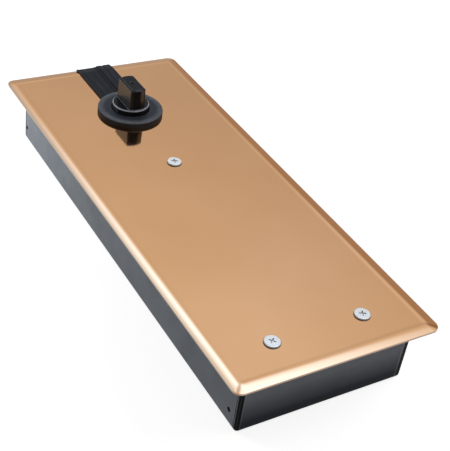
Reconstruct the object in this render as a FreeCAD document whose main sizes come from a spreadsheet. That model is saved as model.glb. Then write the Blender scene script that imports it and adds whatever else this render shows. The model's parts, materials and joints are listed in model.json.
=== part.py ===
import FreeCAD, Part
import math
import operator
import os
from types import SimpleNamespace
import Sketcher

# Floor spring: a door closer set in the floor, under the door that turns on its spindle
# Origin on the spindle's axis, level with the top of the cover; +X to the far end, +Z up; millimetres

SIZES = {
    # Cover plate and what lies on it
    "cover_length": 278.0,
    "cover_width": 112.0,
    "cover_back": 55.1,
    "cover_sheet": 1.0,
    "cover_corner": 4.6,
    "fold_radius": 0.5,
    "fold_half": 0.9,
    "rim_width": 5.2,
    "rim_drop": 0.75,
    "rim_lip": 1.0,
    "cover_hole_radius": 16.0,
    "cover_slot_width": 17.0,
    "cover_screw_inset": 22.0,
    "cover_screw_side": 25.0,
    "cover_screw_radius": 2.5,
    "cover_screw_head": 4.2,
    "cover_screw_crown": 1.4,
    "cover_screw_length": 11.0,
    "cross_length": 5.0,
    "cross_width": 0.9,
    "cross_depth": 0.9,
    "screw_play": 0.25,
    "thread_end": 0.5,
    "dust_ring_radius": 19.0,
    "dust_ring_height": 3.0,
    "dust_ring_round": 0.9,
    "dust_ring_play": 0.2,
    "strip_width": 22.0,
    "strip_shift": 0.4,
    "strip_height": 0.9,
    "strip_rise": 0.5,
    "strip_rise_width": 8.5,
    "strip_overhang": 0.3,
    "channel_depth": 0.25,
    "channel_lip": 1.2,
    "groove_place": 6.4,
    "groove_width": 1.3,
    # Spindle
    "collar_radius": 10.7,
    "collar_top": 6.3,
    "collar_foot": 2.0,
    "collar_chamfer": 0.5,
    "collar_play": 0.5,
    "block_height": 12.7,
    "block_radius": 9.5,
    "block_half": 5.0,
    "block_taper": 0.4,
    "block_chamfer": 0.8,
    "centre_hole_radius": 0.9,
    "centre_hole_chamfer": 0.3,
    "centre_hole_depth": 3.0,
    "journal_radius": 10.0,
    "cam_shoulder_radius": 9.0,
    "cam_seat_radius": 7.5,
    "bearing_seat_radius": 6.0,
    "running_play": 0.05,
    "close_play": 0.02,
    # Heart cam, rollers and carriage; the rise is millimetres for each radian, the swing is degrees
    "swing": 130.0,
    "cam_start": 14.0,
    "cam_rise": 5.29,
    "cam_thickness": 8.0,
    "cam_detent": 0.5,
    "cam_last_angle": 172.0,
    "cam_steps": 24.0,
    "roller_radius": 4.5,
    "roller_play": 0.15,
    "roller_pin_radius": 2.5,
    "side_play": 0.3,
    "carriage_sheet": 2.0,
    "carriage_half": 14.3,
    "carriage_nose": 5.5,
    "nose_half": 4.9,
    "nose_along": 2.2,
    "shoulder_along": 4.7,
    "slot_play": 0.4,
    "key_width": 4.0,
    "key_rise": 1.2,
    "circlip_thickness": 1.1,
    "circlip_radius": 8.8,
    "circlip_groove": 0.6,
    "block_room": 2.5,
    "rod_block_length": 8.0,
    "rod_block_half": 9.0,
    "rivet_radius": 1.5,
    "rivet_side": 6.0,
    "rod_radius": 3.5,
    "rod_end_radius": 2.5,
    "rod_end_length": 21.0,
    # Cylinder, spring and piston
    "bore_radius": 11.0,
    "barrel_wall": 3.4,
    "end_play": 3.3,
    "partition": 16.0,
    "piston_length": 16.0,
    "piston_room": 9.0,
    "piston_ring_width": 2.0,
    "piston_ring_depth": 1.2,
    "nut_thickness": 4.0,
    "nut_radius": 4.6,
    "check_hole_radius": 1.2,
    "check_seat_radius": 2.3,
    "check_ball_radius": 1.9,
    "check_side": 6.9,
    "cage_length": 5.7,
    "cage_pin_inset": 0.7,
    "cage_pin_radius": 0.4,
    "cage_pin_end": 1.0,
    "wire_radius": 1.9,
    "spring_play": 0.6,
    "spring_seat": 0.95,
    "coils": 10.0,
    "plug_length": 12.0,
    "plug_flange": 1.0,
    "plug_groove_inset": 2.0,
    "plug_groove_width": 2.0,
    "plug_groove_depth": 1.7,
    "plug_key_radius": 5.2,
    "plug_key_depth": 5.0,
    "barrel_end_gap": 31.8,
    # Casting
    "cap_gap": 2.0,
    "cap_flange": 4.0,
    "cap_spigot": 4.8,
    "cap_screw_gap": 2.0,
    "cap_lobe_radius": 6.0,
    "cap_screw_radius": 2.5,
    "cap_screw_head": 4.8,
    "cap_screw_length": 13.0,
    "socket_radius": 1.6,
    "socket_depth": 1.8,
    "cap_ring_radius": 1.0,
    "cap_ring_squeeze": 0.1,
    "chamber_radius": 28.0,
    "head_wall": 6.0,
    "chamber_play": 0.3,
    "channel_wall": 3.9,
    "bearing_width": 6.0,
    "bearing_radius": 12.0,
    "bearing_ring": 1.8,
    "bearing_offset": 0.2,
    "ball_count": 10.0,
    "ball_radius": 1.7,
    "ball_play": 0.04,
    "pocket_floor": 1.8,
    "bush_wall": 2.5,
    "seal_radius": 14.0,
    "seal_height": 2.7,
    "seal_sink": 0.2,
    "seal_lip": 0.8,
    "levelling_gap": 1.8,
    "foot_thickness": 7.0,
    "foot_lift": 4.0,
    "foot_gap": 2.8,
    "foot_corner": 6.0,
    "arm_inner": 15.0,
    "arm_length": 49.0,
    "post_radius": 5.5,
    # Valves, in a rib on each side of the cylinder
    "saddle_half": 11.5,
    "rib_inner": 11.5,
    "rib_outer": 25.5,
    "rib_rise": 7.4,
    "rib_drop": 7.6,
    "rib_end_gap": 8.0,
    "valve_side": 19.5,
    "valve_radius": 3.5,
    "valve_sink": 0.5,
    "valve_thread": 3.1,
    "valve_groove": 1.5,
    "valve_land": 0.7,
    "valve_stem": 3.8,
    "valve_stem_radius": 2.0,
    "valve_tip": 1.9,
    "valve_tip_radius": 0.6,
    "valve_slot": 0.9,
    "valve_slot_depth": 1.0,
    "valve_opening": 0.3,
    "valve_groove_depth": 1.1,
    "sweep_cover": 1.5,
    "latch_reach": 4.5,
    "gallery_radius": 1.5,
    "port_radius": 1.25,
    "cross_port_radius": 1.0,
    "gallery_plug_length": 4.0,
    "gallery_plug_radius": 2.0,
    # Filler plug in the top of the cylinder
    "filler_along": 46.0,
    "filler_radius": 4.0,
    "filler_head": 5.5,
    "filler_head_height": 1.4,
    "filler_boss_radius": 7.0,
    "filler_boss_rise": 0.6,
    "filler_washer": 0.4,
    "filler_socket_radius": 2.4,
    # Box and what fastens the closer in it
    "cover_overhang": 9.0,
    "cover_end_overhang": 8.0,
    "box_sheet": 1.2,
    "box_bend": 2.0,
    "box_hole_radius": 1.3,
    "box_hole_inset": 3.2,
    "box_hole_rise": 8.4,
    "seam_width": 0.5,
    "seam_depth": 0.6,
    "seam_inset": 2.2,
    "hold_down_inset": 8.0,
    "hold_down_far_inset": 21.0,
    "hold_down_radius": 3.0,
    "hold_down_slot": 4.0,
    "hold_down_head": 5.6,
    "hold_down_head_height": 4.0,
    "washer_radius": 6.0,
    "washer_thickness": 1.2,
    "bush_radius": 6.0,
    "bush_shoulder": 1.2,
    "bush_gap": 0.4,
    "levelling_along": 17.0,
    "levelling_far_inset": 6.0,
    "levelling_side_inset": 4.5,
    "levelling_radius": 2.5,
    "levelling_rise": 3.0,
    "levelling_socket_radius": 1.4,
}

# Dome of a screw's head, as shares of its radius and of its crown
DOME = ((1, 0.3), (0.93, 0.62), (0.72, 0.9), (0.45, 1), (0, 1))

# Lines across the cover's soft fold, as shares of its width from the inside
FOLD_SHARES = (1, 0.67, 0.33, 0)

# Lengths closer than this count as equal
NEAR = 0.001

doc = FreeCAD.newDocument("FloorSpring")
pieces = []


class Size:
    """A number that carries the formula which ties it to the sheet of sizes."""

    def __init__(self, value, formula):
        self.value = float(value)
        self.formula = formula

    def joined(self, other, sign, rule, swapped=False):
        first, last = (sized(other), self) if swapped else (self, sized(other))
        return Size(rule(first.value, last.value), f"({first.formula} {sign} {last.formula})")

    def __add__(self, other):
        return self.joined(other, "+", operator.add)

    def __radd__(self, other):
        return self.joined(other, "+", operator.add, swapped=True)

    def __sub__(self, other):
        return self.joined(other, "-", operator.sub)

    def __rsub__(self, other):
        return self.joined(other, "-", operator.sub, swapped=True)

    def __mul__(self, other):
        return self.joined(other, "*", operator.mul)

    def __rmul__(self, other):
        return self.joined(other, "*", operator.mul, swapped=True)

    def __truediv__(self, other):
        return self.joined(other, "/", operator.truediv)

    def __neg__(self):
        return 0 - self


def sized(number):
    return number if isinstance(number, Size) else Size(number, f"({number:.12g})")


def fill_sheet():
    """Write the driving sizes into the sheet and hand them back as tied numbers."""
    sheet = doc.addObject("Spreadsheet::Sheet", "Sizes")
    for row, (name, value) in enumerate(SIZES.items(), start=1):
        sheet.set(f"A{row}", name)
        sheet.set(f"B{row}", str(value))
        sheet.setAlias(f"B{row}", name)
    doc.recompute()
    return SimpleNamespace(**{name: Size(getattr(sheet, name), f"Sizes.{name}") for name in SIZES})


S = fill_sheet()

# Places that follow from the sizes: along X
cover_front = S.cover_length - S.cover_back
box_back = S.cover_end_overhang - S.cover_back
box_front = cover_front - S.cover_end_overhang
foot_back = box_back + S.box_sheet + S.foot_gap
foot_front = box_front - S.box_sheet - S.foot_gap
guide_pin = S.cam_start + S.cam_rise * math.pi
travel = S.cam_rise * S.swing * math.pi / 180
rod_block_start = guide_pin + S.roller_radius + S.block_room
carriage_end = rod_block_start + S.rod_block_length
channel_end = carriage_end + S.end_play
near_screw = channel_end + S.partition / 2
far_screw = cover_front - S.cover_screw_inset
spring_start = channel_end + S.partition
barrel_end = box_front - S.box_sheet - S.barrel_end_gap
plug_start = barrel_end - S.plug_length
piston_end = plug_start - S.piston_room
piston_start = piston_end - S.piston_length
rib_end = barrel_end - S.rib_end_gap
sweep_place = piston_end - S.sweep_cover
latch_place = piston_end + S.latch_reach
filler_place = spring_start + S.filler_along

# Across, along Y
cover_side = S.cover_width / 2
box_side = cover_side - S.cover_overhang
foot_side = box_side - S.box_sheet - S.foot_gap
channel_side = S.carriage_half + S.chamber_play
hold_down_side = foot_side - S.hold_down_inset
levelling_side = foot_side - S.levelling_side_inset

# Up and down, along Z
cover_foot = -S.cover_sheet
rim_foot = -S.cover_sheet - S.rim_drop
rim_slope = S.rim_drop / S.rim_width
cap_top = cover_foot - S.cap_gap
head_top = cap_top - S.cap_flange
spigot_foot = head_top - S.cap_spigot
upper_plate_top = spigot_foot - S.side_play
cam_top = upper_plate_top - S.carriage_sheet - S.side_play
cam_foot = cam_top - S.cam_thickness
lower_plate_foot = cam_foot - S.side_play - S.carriage_sheet
chamber_floor = lower_plate_foot - S.side_play
bearing_floor = chamber_floor - S.bearing_offset - S.bearing_width
body_foot = bearing_floor - S.pocket_floor
box_floor = body_foot - S.levelling_gap
box_foot = box_floor - S.box_sheet
bore_level = (cam_top + cam_foot) / 2
foot_low = body_foot + S.foot_lift
foot_top = foot_low + S.foot_thickness
barrel_radius = S.bore_radius + S.barrel_wall
head_radius = S.chamber_radius + S.head_wall
filler_seat = bore_level + barrel_radius + S.filler_boss_rise
rib_top = bore_level + S.rib_rise
rib_foot = bore_level - S.rib_drop
valve_top = rib_top - S.valve_sink
valve_groove_top = valve_top - S.valve_thread
valve_groove_foot = valve_groove_top - S.valve_groove
valve_land_foot = valve_groove_foot - S.valve_land
valve_seat = valve_land_foot - S.valve_stem


def bind(thing, **amounts):
    """Tie properties of an object to sizes; a double underscore stands for a dot."""
    for name, amount in amounts.items():
        thing.setExpression(name.replace("__", "."), sized(amount).formula)


def keep(thing, name):
    """Give a finished piece its name and put it on the list of what is written."""
    thing.Label = name
    pieces.append(thing)
    return thing


def new_body(name, kept=True):
    body = doc.addObject("PartDesign::Body", name)
    return keep(body, name) if kept else body


def new_sketch(body, plane, level):
    """A sketch on one of the body's own planes, moved along the plane's normal to a level."""
    sketch = body.newObject("Sketcher::SketchObject", "Sketch")
    origin_plane = next(f for f in body.Origin.OriginFeatures if f.Role == plane + "_Plane")
    sketch.AttachmentSupport = [(origin_plane, "")]
    sketch.MapMode = "FlatFace"
    bind(sketch, AttachmentOffset__Base__z=level)
    return sketch


def tie_point(sketch, curve, vertex, spot):
    """Hold one end or centre of a curve at a spot given in tied sizes."""
    for kind, place, axis in (("DistanceX", spot[0], -2), ("DistanceY", spot[1], -1)):
        place = sized(place)
        if place.value == 0:
            sketch.addConstraint(Sketcher.Constraint("PointOnObject", curve, vertex, axis))
            continue
        rule = sketch.addConstraint(Sketcher.Constraint(kind, -1, 1, curve, vertex, place.value))
        sketch.setExpression(f"Constraints[{rule}]", place.formula)


def tie_radius(sketch, curve, radius):
    rule = sketch.addConstraint(Sketcher.Constraint("Radius", curve, sized(radius).value))
    sketch.setExpression(f"Constraints[{rule}]", sized(radius).formula)


def point(x, y):
    return FreeCAD.Vector(sized(x).value, sized(y).value, 0)


def circle(x, y, radius):
    """A circle to be drawn in a sketch."""
    def draw(sketch):
        curve = sketch.addGeometry(Part.Circle(point(x, y), FreeCAD.Vector(0, 0, 1), sized(radius).value))
        tie_point(sketch, curve, 3, (x, y))
        tie_radius(sketch, curve, radius)
    return draw


def outline(*spots):
    """A closed outline of straight lines to be drawn in a sketch."""
    def draw(sketch):
        ends = spots[1:] + spots[:1]
        lines = [sketch.addGeometry(Part.LineSegment(point(*a), point(*b))) for a, b in zip(spots, ends)]
        for line, following in zip(lines, lines[1:] + lines[:1]):
            sketch.addConstraint(Sketcher.Constraint("Coincident", line, 2, following, 1))
        for line, spot in zip(lines, spots):
            tie_point(sketch, line, 1, spot)
    return draw


def rectangle(x_low, x_high, y_low, y_high):
    return outline((x_low, y_low), (x_high, y_low), (x_high, y_high), (x_low, y_high))


def polygon(x, y, radius, sides):
    """A regular outline, such as a hexagon for a key."""
    turns = [2 * math.pi * i / sides for i in range(sides)]
    return outline(*[(x + radius * math.cos(a), y + radius * math.sin(a)) for a in turns])


def capped_slot(x, y, half_length, radius):
    """A slot with round ends along the sketch's first direction."""
    def draw(sketch):
        low, high, left, right = y - radius, y + radius, x - half_length, x + half_length
        up, quarter = FreeCAD.Vector(0, 0, 1), math.pi / 2
        near, far = [Part.Circle(point(end, y), up, radius.value) for end in (left, right)]
        curves = [sketch.addGeometry(curve) for curve in (
            Part.LineSegment(point(left, low), point(right, low)),
            Part.ArcOfCircle(far, -quarter, quarter),
            Part.LineSegment(point(right, high), point(left, high)),
            Part.ArcOfCircle(near, quarter, 3 * quarter))]
        for curve, following in zip(curves, curves[1:] + curves[:1]):
            sketch.addConstraint(Sketcher.Constraint("Tangent", curve, 2, following, 1))
        for curve, end in ((curves[1], right), (curves[3], left)):
            tie_point(sketch, curve, 3, (end, y))
            tie_radius(sketch, curve, radius)
    return draw


def rounded_rectangle(x_low, x_high, y_low, y_high, radius):
    def draw(sketch):
        right, left, top, bottom = x_high - radius, x_low + radius, y_high - radius, y_low + radius
        centres = ((right, bottom), (right, top), (left, top), (left, bottom))
        corners = []
        for quarter, centre in enumerate(centres, start=-1):
            start = quarter * math.pi / 2
            corner = Part.Circle(point(*centre), FreeCAD.Vector(0, 0, 1), radius.value)
            corners.append(sketch.addGeometry(Part.ArcOfCircle(corner, start, start + math.pi / 2)))
        for corner, following in zip(corners, corners[1:] + corners[:1]):
            ends = sketch.getPoint(corner, 2), sketch.getPoint(following, 1)
            side = sketch.addGeometry(Part.LineSegment(*ends))
            sketch.addConstraint(Sketcher.Constraint("Tangent", corner, 2, side, 1))
            sketch.addConstraint(Sketcher.Constraint("Tangent", side, 2, following, 1))
        for corner, centre in zip(corners, centres):
            tie_point(sketch, corner, 3, centre)
            tie_radius(sketch, corner, radius)
    return draw


def double_flat(half, radius):
    """A circle cut by two flats, which lie along the sketch's first direction."""
    def draw(sketch):
        end = math.sqrt(radius.value ** 2 - half.value ** 2)
        turn = math.asin(half.value / radius.value)
        round_face = Part.Circle(FreeCAD.Vector(), FreeCAD.Vector(0, 0, 1), radius.value)
        curves = [
            sketch.addGeometry(Part.LineSegment(point(-end, -half), point(end, -half))),
            sketch.addGeometry(Part.ArcOfCircle(round_face, -turn, turn)),
            sketch.addGeometry(Part.LineSegment(point(end, half), point(-end, half))),
            sketch.addGeometry(Part.ArcOfCircle(round_face, math.pi - turn, math.pi + turn)),
        ]
        for curve, following in zip(curves, curves[1:] + curves[:1]):
            sketch.addConstraint(Sketcher.Constraint("Coincident", curve, 2, following, 1))
        for curve in (curves[1], curves[3]):
            sketch.addConstraint(Sketcher.Constraint("Coincident", curve, 3, -1, 1))
            tie_radius(sketch, curve, radius)
        for curve, side in ((curves[0], -half), (curves[2], half)):
            sketch.addConstraint(Sketcher.Constraint("Horizontal", curve))
            rule = sketch.addConstraint(Sketcher.Constraint("DistanceY", -1, 1, curve, 1, side.value))
            sketch.setExpression(f"Constraints[{rule}]", side.formula)
    return draw


def volume(body):
    return 0.0 if body.Shape.isNull() else body.Shape.Volume


def settle(body, before, cut):
    """Build what was added and see that it changed the solid the right way."""
    doc.recompute()
    change = volume(body) - before
    if (change >= 0) if cut else (change <= 0):
        raise RuntimeError(f"{body.Label}: a feature changed the volume by {change:.4f}")


def prism(body, plane, low, high, *drawings, cut=False):
    """Add, or cut away, drawings between two levels along the axis square to the plane."""
    before = volume(body)
    low, high = sized(low), sized(high)
    backwards = plane == "XZ"
    sketch = new_sketch(body, plane, -high if backwards else low)
    for draw in drawings:
        draw(sketch)
    feature = body.newObject("PartDesign::Pocket" if cut else "PartDesign::Pad", "Prism")
    feature.Profile = sketch
    feature.Reversed = cut
    bind(feature, Length=high - low)
    settle(body, before, cut)
    return feature


def loft(body, plane, *levels, cut=False):
    """Add, or cut away, a straight-sided loft through drawings, each with its level on the plane's axis."""
    before = volume(body)
    sketches = []
    for level, draw in levels:
        sketch = new_sketch(body, plane, level)
        draw(sketch)
        sketches.append(sketch)
    feature = body.newObject("PartDesign::SubtractiveLoft" if cut else "PartDesign::AdditiveLoft", "Loft")
    feature.Profile = sketches[0]
    feature.Sections = sketches[1:]
    feature.Ruled = True
    settle(body, before, cut)
    return feature


def turn(body, axis, *spots, cut=False):
    """Revolve an outline of (along X, up Z) spots about the body's X or Z axis, as an addition or a cut."""
    before = volume(body)
    sketch = new_sketch(body, "XZ", 0)
    outline(*spots)(sketch)
    feature = body.newObject("PartDesign::Groove" if cut else "PartDesign::Revolution", "Turned")
    feature.Profile = sketch
    feature.ReferenceAxis = (sketch, ["H_Axis" if axis == "X" else "V_Axis"])
    feature.Angle = 360
    settle(body, before, cut)
    return feature


def cut_primitive(body, kind, spot, **amounts):
    """Cut a plain form, such as a cone, out of a body at a spot."""
    before = volume(body)
    feature = body.newObject("PartDesign::" + kind, kind)
    ground = next(f for f in body.Origin.OriginFeatures if f.Role == "XY_Plane")
    feature.AttachmentSupport = [(ground, "")]
    feature.MapMode = "FlatFace"
    for axis, place in zip("xyz", spot):
        bind(feature, **{"AttachmentOffset__Base__" + axis: place})
    bind(feature, **amounts)
    settle(body, before, cut=True)


def ring_profile(inner, outer, low, high):
    return (inner, low), (outer, low), (outer, high), (inner, high)


def trim_edges(body, kind, test, **amounts):
    """Round or bevel the edges that pass a test."""
    base = body.Tip
    names = [f"Edge{i}" for i, edge in enumerate(base.Shape.Edges, start=1) if test(edge)]
    if not names:
        raise RuntimeError(f"{body.Label}: no edge to trim")
    feature = body.newObject("PartDesign::" + kind, kind)
    feature.Base = (base, names)
    for name, amount in amounts.items():
        bind(feature, **{name: amount})
    doc.recompute()
    return feature


def upright(edge):
    return edge.BoundBox.XLength < NEAR and edge.BoundBox.YLength < NEAR


def at_level(level):
    """A test for edges that lie flat at one height."""
    def test(edge):
        box = edge.BoundBox
        return abs(box.ZMin - level.value) < NEAR and abs(box.ZMax - level.value) < NEAR
    return test


def copies(name, master, spots):
    """One node that holds the same small piece at several spots."""
    links = []
    for x, y, z in spots:
        link = doc.addObject("App::Link", name + "_copy")
        link.LinkedObject = master
        bind(link, Placement__Base__x=x, Placement__Base__y=y, Placement__Base__z=z)
        links.append(link)
    group = doc.addObject("Part::Compound", name)
    group.Links = links
    return keep(group, name)


def turned_on_bore(name, *spots):
    """A turned piece on the cylinder's axis; its spots are (along, radius)."""
    body = new_body(name)
    bind(body, Placement__Base__z=bore_level)
    turn(body, "X", *spots)
    return body


def torus(name, ring_radius, radius, x, y, z, along_x=False):
    """A round sealing ring about an upright axis, or about one along X."""
    ring = doc.addObject("Part::Torus", name)
    bind(ring, Radius1=ring_radius, Radius2=radius)
    if along_x:
        ring.Placement.Rotation = FreeCAD.Rotation(FreeCAD.Vector(0, 1, 0), 90)
    bind(ring, Placement__Base__x=x, Placement__Base__y=y, Placement__Base__z=z)
    return keep(ring, name)


def both_sides(x, y):
    return [(x, y), (x, -y)]


# Where the screws stand
cover_screw_spots = [(near_screw, sized(0))] + both_sides(far_screw, S.cover_screw_side)
cap_bolt_circle = S.chamber_radius + S.cap_screw_radius + S.cap_screw_gap
lobe_side = cap_bolt_circle * math.sqrt(0.5)
cap_screw_spots = both_sides(lobe_side, lobe_side) + both_sides(-lobe_side, lobe_side)
hold_down_near = foot_back + S.hold_down_inset
hold_down_far = foot_front - S.hold_down_far_inset
hold_down_spots = both_sides(hold_down_near, hold_down_side) + both_sides(hold_down_far, hold_down_side)
levelling_near = hold_down_near + S.levelling_along
levelling_far = foot_front - S.levelling_far_inset
levelling_spots = both_sides(levelling_near, levelling_side) + both_sides(levelling_far, levelling_side)


def cover_edges(inset):
    """The cover's four sides, moved inwards."""
    return inset - S.cover_back, cover_front - inset, inset - cover_side, cover_side - inset


def soft_fold():
    """Levels and outlines of the fold between rim and top, which bends evenly over a short width."""
    half, reach = S.fold_half, S.rim_width + S.fold_half
    levels = []
    for share in FOLD_SHARES:
        inset = reach - 2 * half * share
        corner = S.cover_corner + (S.fold_radius - S.cover_corner) * (inset / reach)
        levels.append((-rim_slope * half * share ** 2, rounded_rectangle(*cover_edges(inset), corner)))
    return levels


def make_cover_plate():
    """Pressed sheet with a sloping rim, a hole for the spindle and a slot that lets it be lifted off."""
    body = new_body("cover_plate")
    edges = rounded_rectangle(*cover_edges(0), S.cover_corner)
    prism(body, "XY", rim_foot, -S.rim_drop, edges)
    loft(body, "XY", (-S.rim_drop, edges), *soft_fold())
    hollow = rectangle(*cover_edges(S.rim_lip))
    loft(body, "XY", (rim_foot, hollow), (cover_foot, rectangle(*cover_edges(S.rim_width))), cut=True)
    holes = [circle(x, y, S.cover_screw_radius + S.screw_play) for x, y in cover_screw_spots]
    prism(body, "XY", rim_foot, 0, circle(0, 0, S.cover_hole_radius), *holes, cut=True)
    half = S.cover_slot_width / 2
    prism(body, "XY", rim_foot, 0, rectangle(-S.cover_back, 0, -half, half), cut=True)


def make_cover_screws():
    """Pan-head screws with a cross recess."""
    body = new_body("cover_screw", kept=False)
    crown, head, shank = S.cover_screw_crown, S.cover_screw_head, S.cover_screw_radius
    dome = [(head * wide, crown * high) for wide, high in DOME]
    turn(body, "Z", (0, -S.cover_screw_length), (shank, -S.cover_screw_length), (shank, 0), (head, 0), *dome)
    arm, half = S.cross_length / 2, S.cross_width / 2
    cross = outline((arm, -half), (arm, half), (half, half), (half, arm), (-half, arm), (-half, half),
                    (-arm, half), (-arm, -half), (-half, -half), (-half, -arm), (half, -arm), (half, -half))
    prism(body, "XY", crown - S.cross_depth, crown, cross, cut=True)
    copies("cover_screws", body, [(x, y, sized(0)) for x, y in cover_screw_spots])


def strip_profile(drop):
    """Section of the strip: a flange with a channel and a groove, and a web that fills the cover's slot."""
    left, right = S.strip_shift - S.strip_width / 2, S.strip_shift + S.strip_width / 2
    web = S.cover_slot_width / 2 - S.dust_ring_play / 2
    base, top, high = -drop, S.strip_height - drop, S.strip_height + S.strip_rise - drop
    step, depth, lip = right - S.strip_rise_width, S.channel_depth, S.channel_lip
    foot = step - S.strip_rise
    low_side, high_side = S.groove_place - S.groove_width / 2, S.groove_place + S.groove_width / 2
    return outline(
        (left, base), (-web, base), (-web, cover_foot - drop), (web, cover_foot - drop), (web, base),
        (right, base), (right, high), (high_side + depth, high), (high_side, high - depth),
        (low_side, high - depth), (low_side - depth, high), (step, high), (foot, top), (foot - lip, top),
        (foot - lip - depth, top - depth), (left + lip + depth, top - depth), (left + lip, top), (left, top))


def make_slot_filler():
    """Strip over the cover's slot, level on the top and sloping with the rim at its end."""
    body = new_body("slot_filler")
    fold, end = S.rim_width - S.cover_back, -S.cover_back - S.strip_overhang
    prism(body, "YZ", fold, 0, strip_profile(sized(0)))
    loft(body, "YZ", (end, strip_profile(rim_slope * (fold - end))), (fold, strip_profile(sized(0))))
    prism(body, "XY", cover_foot, 2 * S.dust_ring_height,
          circle(0, 0, S.dust_ring_radius + S.dust_ring_play / 2), cut=True)


def make_dust_ring():
    """Ring that lies on the cover round the spindle, with a spigot in the cover's hole."""
    body = new_body("dust_ring")
    inner, spigot = S.collar_radius + S.collar_play, S.cover_hole_radius - S.dust_ring_play
    outer, top = S.dust_ring_radius, S.dust_ring_height
    turn(body, "Z", (inner, cover_foot), (spigot, cover_foot), (spigot, 0), (outer, 0),
         (outer, top), (inner, top))

    def outer_rim(edge):
        return at_level(top)(edge) and edge.Curve.Radius > spigot.value

    trim_edges(body, "Fillet", outer_rim, Radius=S.dust_ring_round)


def make_spindle():
    """Turned shaft with a keyway and a flat-sided block on top, which carries the door."""
    body = new_body("spindle")
    collar, journal, shoulder = S.collar_radius, S.journal_radius, S.cam_shoulder_radius
    seat, end = S.cam_seat_radius, S.bearing_seat_radius
    groove, groove_foot = seat - S.circlip_groove, cam_foot - S.circlip_thickness
    foot, journal_foot = bearing_floor + S.side_play, upper_plate_top + S.side_play / 2
    block_foot, top = S.collar_top, S.collar_top + S.block_height
    turn(body, "Z", (0, foot), (end, foot), (end, chamber_floor), (seat, chamber_floor),
         (seat, groove_foot), (groove, groove_foot), (groove, cam_foot), (seat, cam_foot), (seat, cam_top),
         (shoulder, cam_top), (shoulder, journal_foot), (journal, journal_foot), (journal, -S.collar_foot),
         (collar, -S.collar_foot), (collar, block_foot - S.collar_chamfer),
         (collar - S.collar_chamfer, block_foot), (0, block_foot))
    taper = S.block_taper
    loft(body, "XY", (block_foot, double_flat(S.block_half, S.block_radius)),
         (top, double_flat(S.block_half - taper, S.block_radius - taper)))
    trim_edges(body, "Chamfer", at_level(top), Size=S.block_chamfer)
    hole, break_off = S.centre_hole_radius, S.centre_hole_chamfer
    hole_foot = top - S.centre_hole_depth
    turn(body, "Z", (0, hole_foot), (hole, hole_foot + hole), (hole, top - break_off),
         (hole + break_off, top), (0, top), cut=True)
    half = S.key_width / 2
    prism(body, "XY", cam_foot, cam_top, rectangle(seat - S.key_rise, seat, -half, half), cut=True)


def cam_flank(angle):
    """A spot on the cam's flank, in the frame of its notch: the roller's path, less the roller's radius."""
    path = S.cam_start.value + S.cam_rise.value * angle
    slope = math.hypot(path, S.cam_rise.value)
    inward = S.roller_radius.value + S.roller_play.value
    outwards = path * (1 - inward / slope)
    sideways = inward * S.cam_rise.value / slope
    return (outwards * math.cos(angle) - sideways * math.sin(angle),
            outwards * math.sin(angle) + sideways * math.cos(angle))


def smooth_curve(spots):
    curve = Part.BSplineCurve()
    curve.interpolate(spots)
    return curve.toShape()


def cam_outline(level):
    """Two flanks, the notch between them at rest and the lobe that joins them at the far side."""
    last_angle, steps = math.radians(S.cam_last_angle.value), int(S.cam_steps.value)
    spots = [cam_flank(last_angle * i / steps) for i in range(steps + 1)]
    left, right = [[FreeCAD.Vector(-x, side * y, level) for x, y in spots] for side in (1, -1)]
    seat = S.roller_radius.value + S.roller_play.value - S.cam_start.value
    notch = Part.Arc(left[0], FreeCAD.Vector(seat, 0, level), right[0]).toShape()
    tip = FreeCAD.Vector(math.hypot(*spots[-1]), 0, level)
    lobe = Part.Arc(left[-1], tip, right[-1]).toShape()
    return Part.Wire(Part.__sortEdges__([smooth_curve(left), lobe, smooth_curve(right), notch]))


def make_heart_cam():
    """Heart-shaped cam: its radius grows evenly both ways from the notch, with a rest at each right angle."""
    thickness, base = S.cam_thickness.value, FreeCAD.Vector(0, 0, cam_foot.value)
    blank = Part.Face(cam_outline(cam_foot.value)).extrude(FreeCAD.Vector(0, 0, thickness))
    bore = Part.makeCylinder(S.cam_seat_radius.value, thickness, base)
    width = S.key_width.value
    key_side = base - FreeCAD.Vector(0, width / 2, 0)
    keyway = Part.makeBox(S.cam_seat_radius.value + S.key_rise.value, width, thickness, key_side)
    rest_at = S.cam_start.value + S.cam_rise.value * math.pi / 2 - S.cam_detent.value
    roller = S.roller_radius.value + S.roller_play.value
    places = [base + FreeCAD.Vector(0, side * rest_at, 0) for side in (1, -1)]
    rests = [Part.makeCylinder(roller, thickness, place) for place in places]
    cam = doc.addObject("Part::Feature", "heart_cam")
    cam.Shape = blank.cut([bore, keyway, *rests])
    keep(cam, "heart_cam")


def make_cam_key():
    body = new_body("cam_key")
    half = S.key_width / 2
    prism(body, "XY", cam_foot, cam_top,
          rectangle(S.cam_seat_radius - S.key_rise, S.cam_seat_radius + S.key_rise, -half, half))


def make_cam_circlip():
    """Open spring ring in the spindle's groove, under the cam."""
    body = new_body("cam_circlip")
    groove = S.cam_seat_radius - S.circlip_groove
    turn(body, "Z", *ring_profile(groove, S.circlip_radius, cam_foot - S.circlip_thickness, cam_foot))
    prism(body, "XY", cam_foot - S.circlip_thickness, cam_foot,
          rectangle(0, 2 * S.circlip_radius, -S.key_width / 2, S.key_width / 2), cut=True)


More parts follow.
